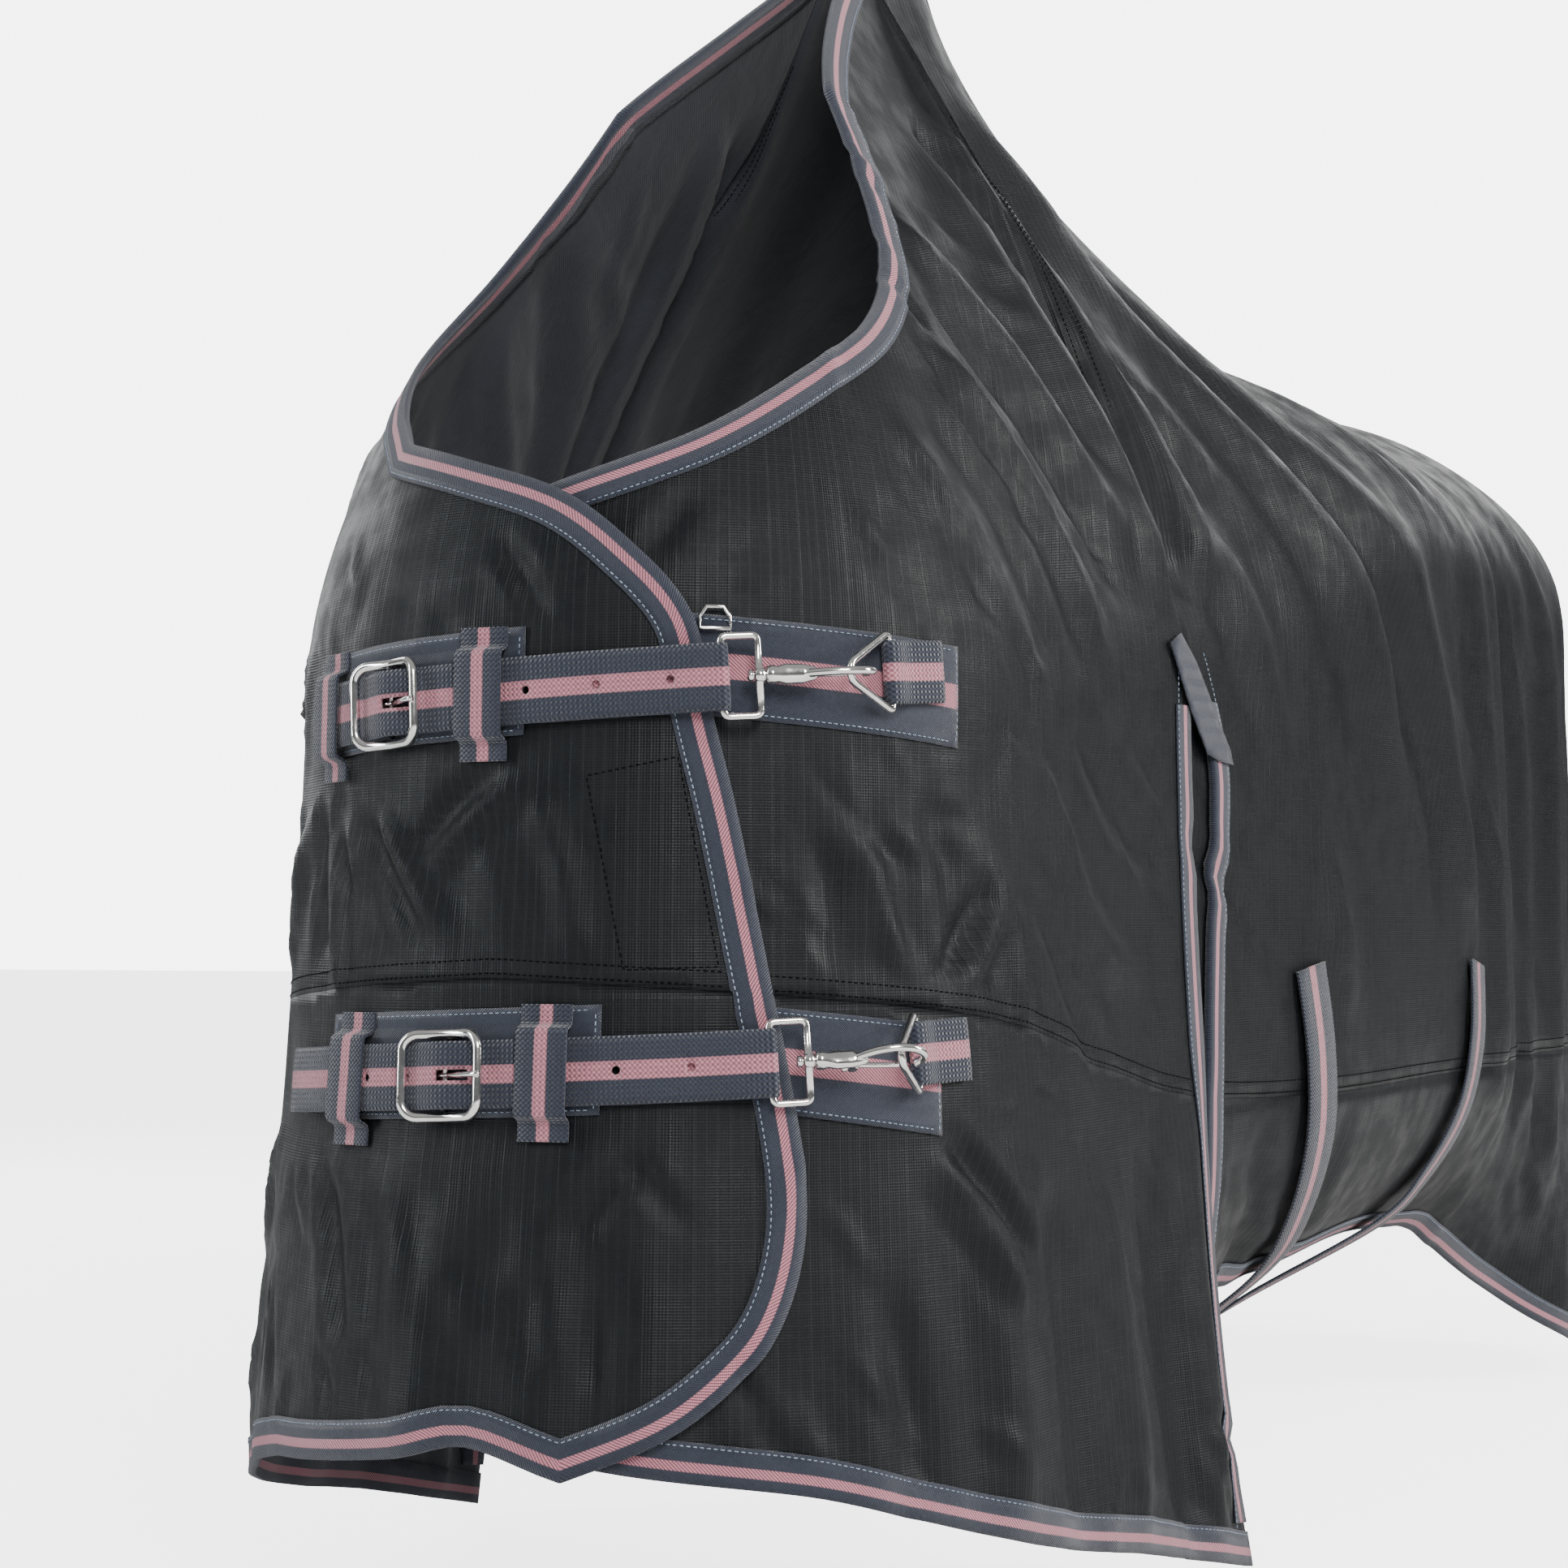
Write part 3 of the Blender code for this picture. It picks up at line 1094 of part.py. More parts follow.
    return dict(buckle=place, eye=m, hook=mr, ring=rm, ring_s=s0)


def make_patches():
    """Reinforcing patches that the straps are sewn to."""
    def patch(name, corners, base):
        pattern = fill(corners, (0.019, 0.023))
        plate(name, pattern, on_cloth(base), 0.0010, 0.0018, BINDING_TAPE)

    def strip(s0, s1, mid0, mid1, half0, half1):
        ss = samples(s0, s1, 0.018)
        f = lambda s: (s - s0) / (s1 - s0)
        low = [(s, mid0 + (mid1 - mid0) * f(s) - half0 - (half1 - half0) * f(s)) for s in ss]
        high = [(s, mid0 + (mid1 - mid0) * f(s) + half0 + (half1 - half0) * f(s)) for s in ss]
        return low + high[::-1]

    patch("upper_buckle_patch", strip(-.170, .015, -.371, -.361, .032, .032), flap_base)
    patch("upper_ring_patch", strip(.095, .288, -.350, -.366, .030, .031), flat_base)
    patch("lower_buckle_patch", strip(-.120, .063, -.592, -.584, .032, .032), flap_base)
    patch("lower_ring_patch", strip(.125, .262, -.580, -.598, .030, .033), flat_base)


def make_d_ring():
    m = frame_on(.122, -.327, 0.0052)
    ring = wire("upper_d_ring", [(-.009, -.004, 0), (.009, -.004, 0), (.009, .003, 0), (.005, .009, 0),
                                 (-.005, .009, 0), (-.009, .003, 0)], 0.0013, CHROME, True, 0.0)
    apply_matrix(ring, m)
    return m


def make_surcingles():
    """Two webbing straps from the side of the rug, crossing under the belly to the other side."""
    for name, side, level in (("surcingle_front_near", 1, -.905), ("surcingle_front_off", -1, -.885)):
        front = [(.845, -.535), (.855, -.60), (.868, -.66), (.885, -.72), (.905, -.775)]
        rear = [(1.205, -.775), (1.225, -.72), (1.242, -.66), (1.255, -.60), (1.265, -.535)]
        lifts = (0.0030, 0.0034, 0.0045, 0.0060, 0.0085)
        pts = [at(side * s, v, h) for (s, v), h in zip(front, lifts)]
        nrm = [normal_at(round(side * s, 6), round(v, 6)) for s, v in front]
        y0, y1 = pts[-1][1], CHEST_AXIS_Y + 1.205 - QUARTER
        for k in range(1, 8):
            t = k / 8
            x = side * (1 - 2 * t) * 0.215
            z = level + (pts[4][2] - 0.010 - level) * abs(1 - 2 * t) ** 2
            pts.append(np.array([x, y0 + (y1 - y0) * t, z]))
            nrm.append(np.array([x * 1.2, 0, -0.3]))
        pts += [at(-side * s, v, h) for (s, v), h in zip(rear, lifts[::-1])]
        nrm += [normal_at(round(-side * s, 6), round(v, 6)) for s, v in rear]
        fine, dirs = [], []
        for i in range(len(pts) - 1):
            for k in range(4):
                t = k / 4
                a, b = pts[max(i - 1, 0)], pts[min(i + 2, len(pts) - 1)]
                p, q = pts[i], pts[i + 1]
                fine.append(0.5 * (2 * p + (q - a) * t + (2 * a - 5 * p + 4 * q - b) * t * t
                                   + (3 * p - a - 3 * q + b) * t**3))
                d = nrm[i] / np.linalg.norm(nrm[i]) * (1 - t) + nrm[i + 1] / np.linalg.norm(nrm[i + 1]) * t
                dirs.append(d / np.linalg.norm(d))
        fine.append(pts[-1])
        dirs.append(nrm[-1])
        path = Path(fine, dirs)
        rings = []
        for u in samples(0, path.length(), 0.03):
            rings.append([path.place(u, w, h) for w, h in ((-.025, 0), (.025, 0), (.025, .0022), (-.025, .0022))])
        sweep(name, rings, WEBBING)


# ======================= build =======================
for old in list(bpy.data.objects):
    bpy.data.objects.remove(old, do_unlink=True)
RUG = bpy.data.collections.new("turnout_rug")
CUTTERS = bpy.data.collections.new("cutters")
bpy.context.scene.collection.children.link(RUG)
bpy.context.scene.collection.children.link(CUTTERS)
CUTTERS.hide_render = True
SHELL_CLOTH = material("shell_cloth", (0.02, 0.022, 0.025), 0, 0.6)
LINING_CLOTH = material("lining_cloth", (0.03, 0.032, 0.038), 0, 0.5)
BINDING_TAPE = material("binding_tape", (0.05, 0.065, 0.10), 0, 0.8)
WEBBING = material("webbing", (0.06, 0.07, 0.10), 0, 0.8)
VELCRO = material("velcro", (0.01, 0.01, 0.012), 0, 0.9)
CHROME = material("chrome", (0.8, 0.8, 0.82), 1, 0.15)

make_cloth()
make_bindings()
make_spine()
make_tail_flap()
make_velcro()
make_patches()
UPPER = chest_strap("upper", lambda s: -.372 + .060 * (s + .071), -.165, -.138, -.071, -.009, .125, .025,
                    math.radians(-6), math.radians(0), .18, [.018, .058, .098])
LOWER = chest_strap("lower", lambda s: -.595 + .050 * (s + .023), -.168, -.090, -.023, .034, .150, .075,
                    math.radians(3), math.radians(-30), .20, [-.075, -.047, .072, .110])
D_RING = make_d_ring()
make_surcingles()
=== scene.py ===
"""Looks of the turnout rug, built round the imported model: fine cloth with folds, tapes, webbing, stitching
and plated hardware. The horse faces -Y, +X is its near side, +Z is up, and everything is in metres.
"""
import json
import math
from functools import lru_cache

import bpy
import numpy as np
from mathutils import Matrix, Vector
from mathutils.geometry import delaunay_2d_cdt

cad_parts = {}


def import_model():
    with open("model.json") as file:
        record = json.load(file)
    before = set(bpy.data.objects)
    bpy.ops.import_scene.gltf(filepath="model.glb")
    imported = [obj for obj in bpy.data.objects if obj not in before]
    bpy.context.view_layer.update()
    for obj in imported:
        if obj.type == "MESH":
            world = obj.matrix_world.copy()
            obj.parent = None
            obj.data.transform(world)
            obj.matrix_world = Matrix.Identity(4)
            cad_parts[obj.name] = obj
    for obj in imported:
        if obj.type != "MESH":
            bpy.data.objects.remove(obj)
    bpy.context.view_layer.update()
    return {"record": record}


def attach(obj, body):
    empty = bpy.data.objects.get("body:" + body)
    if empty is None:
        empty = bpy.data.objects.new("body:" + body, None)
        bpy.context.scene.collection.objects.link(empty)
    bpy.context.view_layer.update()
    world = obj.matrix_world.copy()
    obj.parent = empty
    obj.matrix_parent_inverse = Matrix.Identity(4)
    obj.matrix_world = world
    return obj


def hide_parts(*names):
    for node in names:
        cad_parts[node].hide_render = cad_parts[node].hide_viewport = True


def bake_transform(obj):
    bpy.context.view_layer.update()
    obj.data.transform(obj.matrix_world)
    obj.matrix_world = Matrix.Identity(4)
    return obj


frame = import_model()

FRONT_GRID = (0.0065, 0.0065)
BODY_GRID = (0.013, 0.011)

# ---- shape of the rug: station s runs from the chest midline (0) round the shoulder and back ----
CHEST_AXIS_Y = -0.62
CHEST_HALF_WIDTH = 0.252
CHEST_DEPTH = 0.30
CHEST_POWER = 2.2
QUARTER = 0.45
REAR = 1.99
GUSSET = 0.655
SPINE_HALF = 0.0045
SPINE = [(0, .30), (.72, .30), (.82, .205), (.94, .10), (1.07, .0), (1.22, -.013), (1.37, -.016),
         (1.55, .004), (1.85, .0), (1.99, -.05)]
HALF_WIDTH = [(0, .252), (.45, .252), (.66, .268), (.9, .305), (1.2, .335), (1.5, .335), (1.8, .31),
              (1.99, .26)]
HEM_FLARE = [(0, .048), (.45, .050), (.66, .045), (.82, .0), (1.5, .0), (1.99, .02)]
SPRING = [(0, -.36), (.45, -.36), (.8, -.30), (1.2, -.20), (1.99, -.20)]
ROUNDNESS = [(0, .1), (.3, .0), (.66, .0), (.8, .15), (.95, .5), (1.1, .85), (1.3, 1), (1.99, 1)]
TUCK = [(.66, 14), (.80, 48), (.95, 66), (1.35, 66), (1.6, 25), (1.75, 0), (1.99, 0)]
TUCK_FROM = 0.6595
TUCK_START = -0.60
HEM_FRONT = [(0, -.80), (.06, -.815), (.17, -.832), (.24, -.852), (.34, -.88), (.49, -.91), (.655, -.945)]
HEM_BODY = [(.655, -.80), (.8, -.79), (1.35, -.80), (1.6, -.86), (1.8, -.92), (1.99, -.92)]
SEAM = [(0, -.537), (.16, -.547), (.32, -.563), (.5, -.60), (.66, -.625), (.8, -.63), (1.99, -.62)]
NECK = [(0, -.248), (.1, -.214), (.2, -.158), (.27, -.122), (.34, -.075), (.40, -.005), (.46, .07),
        (.54, .14), (.62, .20), (.68, .25), (.72, .30)]
# front edge of the off-side panel, from its neckline round the bottom corner to the hem
FLAP_EDGE = [(-.09, -.203), (-.035, -.224), (.03, -.248), (.074, -.282), (.108, -.324), (.119, -.381),
             (.132, -.439), (.145, -.51), (.158, -.581), (.168, -.651), (.166, -.698), (.153, -.740),
             (.131, -.770), (.098, -.799), (.050, -.823)]
FLAP_HEM = [(0, -.806), (-.04, -.816), (-.10, -.824)]
FLAP_LIFT = 0.0075
UNDERLAP = -0.03

# ---- cloth and tape thicknesses ----
SHELL = 0.0010
LINING_TOP = -0.0013
LINING_LOW = -0.0021
TAPE = 0.0010
GAP = 0.0003
BIND = 0.022
WEB = 0.0018


def along(keys, t):
    """Smooth curve through the keys without overshoot."""
    xs = [k[0] for k in keys]
    ys = [k[1] for k in keys]
    n = len(xs)
    t = min(max(t, xs[0]), xs[-1])
    h = [xs[i + 1] - xs[i] for i in range(n - 1)]
    d = [(ys[i + 1] - ys[i]) / h[i] for i in range(n - 1)]
    m = [d[0]] + [0.0] * (n - 2) + [d[-1]]
    for i in range(1, n - 1):
        if d[i - 1] * d[i] > 0:
            m[i] = 2 * d[i - 1] * d[i] / (d[i - 1] + d[i])
    i = 0
    while i < n - 2 and t > xs[i + 1]:
        i += 1
    u = (t - xs[i]) / h[i]
    return ((2 * u**3 - 3 * u**2 + 1) * ys[i] + (u**3 - 2 * u * u + u) * h[i] * m[i]
            + (-2 * u**3 + 3 * u * u) * ys[i + 1] + (u**3 - u * u) * h[i] * m[i + 1])


def ease(t):
    t = min(max(t, 0.0), 1.0)
    return t * t * (3 - 2 * t)


def spline(a, p, q, b, t):
    """Point at t on the smooth stretch from p to q, with a before it and b after it."""
    return 0.5 * (2 * p + (q - a) * t + (2 * a - 5 * p + 4 * q - b) * t * t + (3 * p - a - 3 * q + b) * t**3)


def extended(points):
    """The points as vectors, with one more beyond each end in line with it."""
    p = [np.array(q, float) for q in points]
    return [2 * p[0] - p[1]] + p + [2 * p[-1] - p[-2]]


def unit(vector):
    return vector / np.linalg.norm(vector)


def run_along(points):
    """Distance along a line of points, at each of them."""
    steps = [np.linalg.norm(b - a) for a, b in zip(points, points[1:])]
    return np.concatenate([[0], np.cumsum(steps)])


def bearing(a):
    """Direction round the chest at station a, scaled to a half width of one."""
    th = math.pi / 2 * a / QUARTER
    r = ((math.sin(th) / CHEST_HALF_WIDTH) ** CHEST_POWER
         + (math.cos(th) / CHEST_DEPTH) ** CHEST_POWER) ** (-1 / CHEST_POWER) / CHEST_HALF_WIDTH
    return r * math.sin(th), r * math.cos(th)


@lru_cache(maxsize=200000)
def section(a):
    """Section at station a: cloth height, half width and height, from the hem up to the spine."""
    w, top, spring = along(HALF_WIDTH, a), along(SPINE, a), along(SPRING, a)
    round_, flare = along(ROUNDNESS, a), along(HEM_FLARE, a)
    tuck = math.radians(along(TUCK, a)) if a > TUCK_FROM else 0.0
    down = np.linspace(0, 0.80, 81)
    tilt = tuck * np.clip((spring - down - TUCK_START) / -0.24, 0, 1)
    width = w + flare * (down / 0.62) ** 1.5
    step = np.diff(down)
    width[1:] -= np.cumsum(np.sin(tilt[1:]) * step)
    height = np.concatenate([[spring], spring - np.cumsum(np.cos(tilt[1:]) * step)])
    q = np.sin(np.linspace(0, math.pi / 2, 120))
    shape = (1 - round_) * (1 - 3 * q**2 + 2 * q**3) + round_ * np.clip(1 - q**2.1, 0, 1) ** (1 / 2.1)
    up_width = SPINE_HALF + (w - SPINE_HALF) * shape
    up_height = spring + (top - spring) * q
    stretch = math.hypot(*bearing(a)) if a < QUARTER else 1.0
    arc = np.concatenate([[0], np.cumsum(np.hypot(np.diff(up_width) * stretch, np.diff(up_height)))])
    v = np.concatenate([(spring - down)[::-1], spring + arc[1:]])
    return v, np.concatenate([width[::-1], up_width[1:]]), np.concatenate([height[::-1], up_height[1:]])


def skin(s, v):
    """Point on the outer face of the cloth at station s (minus on the off side) and cloth height v."""
    a = abs(s)
    vs, ws, zs = section(round(a, 6))
    k = float(np.interp(v, vs, ws))
    z = float(np.interp(v, vs, zs))
    if a < QUARTER:
        ex, ey = bearing(a)
        x, y = ex * k, CHEST_AXIS_Y - ey * k
    else:
        x, y = k, CHEST_AXIS_Y + a - QUARTER
    return np.array([x if s >= 0 else -x, y, z])


def cloth_height(s, z):
    """Cloth height v of the point at height z above the tucked part."""
    vs, _, zs = section(round(abs(s), 6))
    keep = vs > TUCK_START
    return float(np.interp(z, zs[keep], vs[keep])) if z > TUCK_START else z


def top_of(s):
    return float(section(round(abs(s), 6))[0][-1])


@lru_cache(maxsize=200000)
def rounded_normal(s, v):
    e = 0.004
    return unit(np.cross(skin(s + e, v) - skin(s - e, v), skin(s, v + e) - skin(s, v - e)))


def normal_at(s, v):
    """Outward direction of the smooth cloth."""
    return rounded_normal(round(s, 6), round(v, 6))


# ======================= folds =======================
# each fold: its line on the cloth, height (minus is a crease), half width, and how far it fades at each end
FOLDS = [
    # soft folds from the neck to the shoulder, near side
    ([(.36, -.10), (.44, -.20), (.52, -.34)], .0065, .016, .06),
    ([(.40, -.05), (.49, -.15), (.57, -.30)], -.0050, .015, .06),
    ([(.43, .01), (.52, -.10), (.60, -.26)], .0065, .018, .06),
    ([(.30, -.15), (.37, -.24), (.43, -.36)], -.0035, .016, .05),
    ([(.26, -.17), (.32, -.25), (.37, -.33)], .0030, .012, .05),
    # deep crease from the withers to the gusset
    ([(.60, .13), (.628, .02), (.648, -.12), (.668, -.30)], -.0100, .017, .07),
    ([(.635, .15), (.665, .03), (.685, -.12), (.70, -.28)], .0090, .020, .07),
    ([(.56, .10), (.59, -.02), (.61, -.16), (.63, -.30)], .0060, .022, .08),
    # from the withers back over the ribs
    ([(.72, .20), (.80, .02), (.92, -.20), (1.05, -.40)], .0090, .032, .14),
    ([(.78, .12), (.90, -.06), (1.04, -.26), (1.16, -.44)], -.0075, .030, .14),
    ([(.88, .00), (1.02, -.18), (1.18, -.38), (1.30, -.55)], .0060, .035, .15),
    ([(.70, -.05), (.76, -.20), (.84, -.38), (.90, -.52)], -.0070, .024, .10),
    ([(.71, -.16), (.79, -.30), (.87, -.44), (.94, -.60)], .0070, .026, .10),
    ([(1.25, -.10), (1.32, -.30), (1.36, -.52), (1.38, -.70)], .0060, .034, .12),
    ([(1.42, -.12), (1.47, -.32), (1.50, -.55), (1.52, -.75)], -.0055, .030, .12),
    ([(1.62, -.15), (1.65, -.35), (1.66, -.60), (1.66, -.82)], .0065, .036, .12),
    ([(1.78, -.15), (1.80, -.40), (1.80, -.65), (1.79, -.86)], -.0060, .032, .12),
    ([(1.90, -.20), (1.90, -.45), (1.90, -.68), (1.89, -.88)], .0055, .032, .12),
    # hanging flutes of the lower front
    ([(.30, -.66), (.31, -.76), (.315, -.89)], .0050, .020, .06),
    ([(.37, -.64), (.385, -.76), (.39, -.92)], -.0055, .020, .07),
    ([(.45, -.64), (.465, -.78), (.475, -.93)], .0060, .024, .08),
    ([(.54, -.62), (.555, -.78), (.565, -.95)], -.0050, .022, .08),
    ([(.62, -.58), (.615, -.74), (.61, -.95)], .0045, .020, .08),
    ([(.22, -.70), (.235, -.78), (.24, -.87)], -.0035, .014, .05),
    ([(-.02, -.66), (-.03, -.74), (-.035, -.84)], .0030, .016, .05),
    ([(.06, -.66), (.065, -.74), (.06, -.83)], -.0028, .013, .05),
    ([(.40, -.42), (.47, -.50), (.56, -.56)], .0040, .016, .06),
    ([(.36, -.46), (.43, -.55), (.50, -.62)], -.0040, .014, .06),
    ([(.45, -.36), (.53, -.43), (.62, -.48)], -.0040, .015, .06),
    ([(.30, -.44), (.34, -.50), (.36, -.58)], .0030, .012, .04),
    # drag creases of the chest, between and round the straps
    ([(-.060, -.470), (-.025, -.430), (.008, -.408)], -.0042, .0070, .030),
    ([(-.052, -.478), (-.014, -.440), (.020, -.414)], .0038, .0080, .030),
    ([(-.100, -.436), (-.073, -.475), (-.045, -.520)], -.0036, .0065, .030),
    ([(-.088, -.430), (-.060, -.470), (-.030, -.516)], .0034, .0080, .030),
    ([(-.012, -.270), (.012, -.300), (.030, -.335)], -.0036, .0065, .025),
    ([(.080, -.290), (.098, -.262), (.112, -.240)], -.0036, .0070, .025),
    ([(.018, -.420), (.040, -.470), (.050, -.530)], .0026, .0070, .030),
    ([(-.140, -.450), (-.128, -.500), (-.120, -.560)], .0030, .0080, .030),
    ([(-.165, -.420), (-.160, -.480), (-.150, -.540)], -.0034, .0080, .030),
    ([(.040, -.700), (.070, -.660), (.100, -.622)], -.0034, .0070, .030),
    ([(-.120, -.645), (-.100, -.700), (-.085, -.770)], -.0036, .0080, .035),
    ([(-.060, -.650), (-.050, -.700), (-.046, -.760)], .0032, .0085, .035),
    # drag creases beyond the ring patches
    ([(.250, -.560), (.290, -.515), (.320, -.470)], -.0046, .0080, .035),
    ([(.262, -.566), (.302, -.524), (.336, -.480)], .0042, .0095, .035),
    ([(.255, -.400), (.300, -.385), (.345, -.372)], -.0036, .0070, .030),
    ([(.260, -.625), (.310, -.668), (.350, -.720)], -.0044, .0080, .035),
    ([(.250, -.640), (.296, -.690), (.330, -.745)], .0040, .0095, .035),
    ([(.180, -.445), (.190, -.490), (.195, -.540)], -.0030, .0075, .030),
    ([(.205, -.440), (.225, -.490), (.235, -.545)], .0034, .0085, .030),
    ([(-.02, -.44), (.00, -.48), (.01, -.53)], .0022, .010, .03),
    ([(-.10, -.43), (-.09, -.48), (-.07, -.54)], -.0024, .010, .03),
    ([(.19, -.43), (.21, -.48), (.215, -.53)], .0024, .010, .03),
    ([(.25, -.42), (.28, -.47), (.29, -.54)], -.0028, .011, .03),
]
# where the straps and hardware lie: line, half width kept smooth, distance over which folds come back
QUIET = [([(-.19, -.379), (.30, -.350)], .032, .026), ([(-.19, -.603), (.28, -.580)], .032, .026),
         ([(.12, -.327), (.13, -.33)], .018, .02)]
GRID = 0.004
S0, V0 = -2.02, -1.0


def line_fade(pts, line):
    """Distance from each point to a line on the cloth, and how far along the line its nearest place is."""
    best = np.full(len(pts), 1e9)
    where = np.zeros(len(pts))
    run = 0.0
    for a, b in zip(line, line[1:]):
        a, b = np.array(a), np.array(b)
        d = b - a
        size = float(np.linalg.norm(d))
        t = np.clip((pts - a) @ d / size**2, 0, 1)
        gap = np.linalg.norm(pts - a - t[:, None] * d, axis=1)
        near = gap < best
        best[near] = gap[near]
        where[near] = run + t[near] * size
        run += size
    return best, where, run


def smooth(t):
    t = np.clip(t, 0, 1)
    return t * t * (3 - 2 * t)


def small_folds(rng, count, box, length, amp, width, lean):
    """Random short folds inside a box on the cloth; lean is their mean slope."""
    made = []
    for _ in range(count):
        s = rng.uniform(box[0], box[1])
        v = rng.uniform(box[2], box[3])
        size = length * rng.uniform(.6, 1.4)
        turn = lean + rng.normal(0, .35)
        d = np.array([math.cos(turn), math.sin(turn)]) * size / 2
        bow = np.array([-d[1], d[0]]) * rng.uniform(-.25, .25)
        p = np.array([s, v])
        line = [tuple(p - d), tuple(p + bow), tuple(p + d)]
        made.append((line, amp * rng.choice([-1, 1]) * rng.uniform(.5, 1.2),
                     width * rng.uniform(.7, 1.3), size * .35))
    return made


def fold_map():
    """Height of the folds over the whole cloth, on a grid of stations and cloth heights."""
    rng = np.random.RandomState(11)
    ss = np.arange(S0, 2.03, GRID)
    vs = np.arange(V0, 0.92, GRID)
    grid = np.stack(np.meshgrid(ss, vs, indexing="ij"), axis=-1).reshape(-1, 2)
    total = np.zeros(len(grid))
    strokes = []
    for line, amp, width, fade in FOLDS:
        strokes.append((line, amp, width, fade))
        if max(s for s, _ in line) > .2:
            shift = rng.uniform(-.02, .02)
            twin = [(-s + shift, v + shift * .5) for s, v in line]
            strokes.append((twin, amp * rng.uniform(.7, 1.1), width, fade))
    for side in (1, -1):
        box = lambda a, b, c, d: (side * a, side * b, c, d) if side > 0 else (-b, -a, c, d)
        lean = lambda t: t if side > 0 else math.pi - t
        strokes += small_folds(rng, 26, box(.18, .62, -.60, -.12), .09, .0016, .0065, lean(-.95))
        strokes += small_folds(rng, 26, box(.16, .64, -.92, -.62), .08, .0014, .0060, lean(-1.25))
        strokes += small_folds(rng, 16, box(.26, .42, -.66, -.30), .06, .0017, .0050, lean(-.25))
        strokes += small_folds(rng, 40, box(.70, 1.95, -.85, -.05), .22, .0026, .0140, lean(-1.1))
        strokes += small_folds(rng, 14, box(.30, .66, -.20, .12), .10, .0018, .0080, lean(-.8))
    strokes += small_folds(rng, 30, (-.24, .24, -.55, -.26), .06, .0017, .0055, -1.2)
    strokes += small_folds(rng, 26, (-.24, .20, -.83, -.62), .06, .0018, .0060, -1.3)
    for line, amp, width, fade in strokes:
        lo = np.min(line, axis=0) - 3.2 * width
        hi = np.max(line, axis=0) + 3.2 * width
        use = np.nonzero(((grid > lo) & (grid < hi)).all(axis=1))[0]
        gap, where, run = line_fade(grid[use], line)
        ends = smooth(where / fade) * smooth((run - where) / fade)
        q = gap / width
        total[use] += amp * (np.exp(-q * q) - 0.28 * np.exp(-((q - 2.0) / 0.9) ** 2)) * ends
    # soft waves of the whole cloth
    for _ in range(14):
        k = rng.uniform(5, 16)
        turn = rng.uniform(-.5, .5)
        phase = grid[:, 0] * k * math.cos(turn) + grid[:, 1] * k * math.sin(turn)
        total += 0.0011 * np.sin(phase + rng.uniform(0, 6.3))
    keep = np.ones(len(grid))
    for line, half, back in QUIET:
        gap, _, _ = line_fade(grid, line)
        keep *= smooth((gap - half) / back)
    tops = np.array([top_of(s) for s in ss]).repeat(len(vs))
    keep *= smooth((tops - grid[:, 1] - .012) / .10)
    rump = smooth((np.abs(grid[:, 0]) - 1.86) / .06) * smooth((grid[:, 1] - tops + .30) / .08)
    keep *= 1 - rump
    hem = smooth((-.60 - grid[:, 1]) / .2)
    total *= keep * (1 + .35 * hem)
    return np.clip(1.5 * total, -.014, .014).reshape(len(ss), len(vs))


FOLD = fold_map()


def fold_at(s, v):
    i, j = (s - S0) / GRID, (v - V0) / GRID
    a, b = min(max(int(i), 0), FOLD.shape[0] - 2), min(max(int(j), 0), FOLD.shape[1] - 2)
    x, y = min(max(i - a, 0), 1), min(max(j - b, 0), 1)
    return float(FOLD[a, b] * (1 - x) * (1 - y) + FOLD[a + 1, b] * x * (1 - y)
                 + FOLD[a, b + 1] * (1 - x) * y + FOLD[a + 1, b + 1] * x * y)


def at(s, v, lift=0.0):
    """Point at a height above the outer face of the folded cloth."""
    return skin(s, v) + (lift + fold_at(s, v)) * normal_at(s, v)


# ======================= pieces =======================
BODY_OF = {node: body for body, nodes in frame["record"]["behaviour"]["bodies"].items() for node in nodes}
PIECES = {}


def new_object(name, verts, faces, mat, weave=None):
    mesh = bpy.data.meshes.new(name + "_look")
    mesh.from_pydata([tuple(map(float, p)) for p in verts], [], faces)
    if weave is not None:
        layer = mesh.attributes.new("weave", "FLOAT_VECTOR", "POINT")
        layer.data.foreach_set("vector", np.array(weave, dtype=np.float32).ravel())
    mesh.validate()
    mesh.polygons.foreach_set("use_smooth", [True] * len(mesh.polygons))
    mesh.materials.append(mat)
    obj = bpy.data.objects.new(name + "_look", mesh)
    bpy.context.scene.collection.objects.link(obj)
    PIECES[name] = obj
    return obj


# ---- flat patterns in (s, v) ----
def inside(poly, pts):
    x, y = pts[:, 0], pts[:, 1]
    hit = np.zeros(len(pts), bool)
    for (x0, y0), (x1, y1) in zip(poly, poly[1:] + poly[:1]):
        if y0 != y1:
            hit ^= ((y0 > y) != (y1 > y)) & (x < (x1 - x0) * (y - y0) / (y1 - y0) + x0)
    return hit


def gap_to(pts, line):
    best = np.full(len(pts), 1e9)
    for a, b in zip(line, line[1:]):
        a, b = np.array(a), np.array(b)
        d = b - a
        t = np.clip((pts - a) @ d / max(d @ d, 1e-12), 0, 1)
        best = np.minimum(best, np.linalg.norm(pts - a - t[:, None] * d, axis=1))
    return best


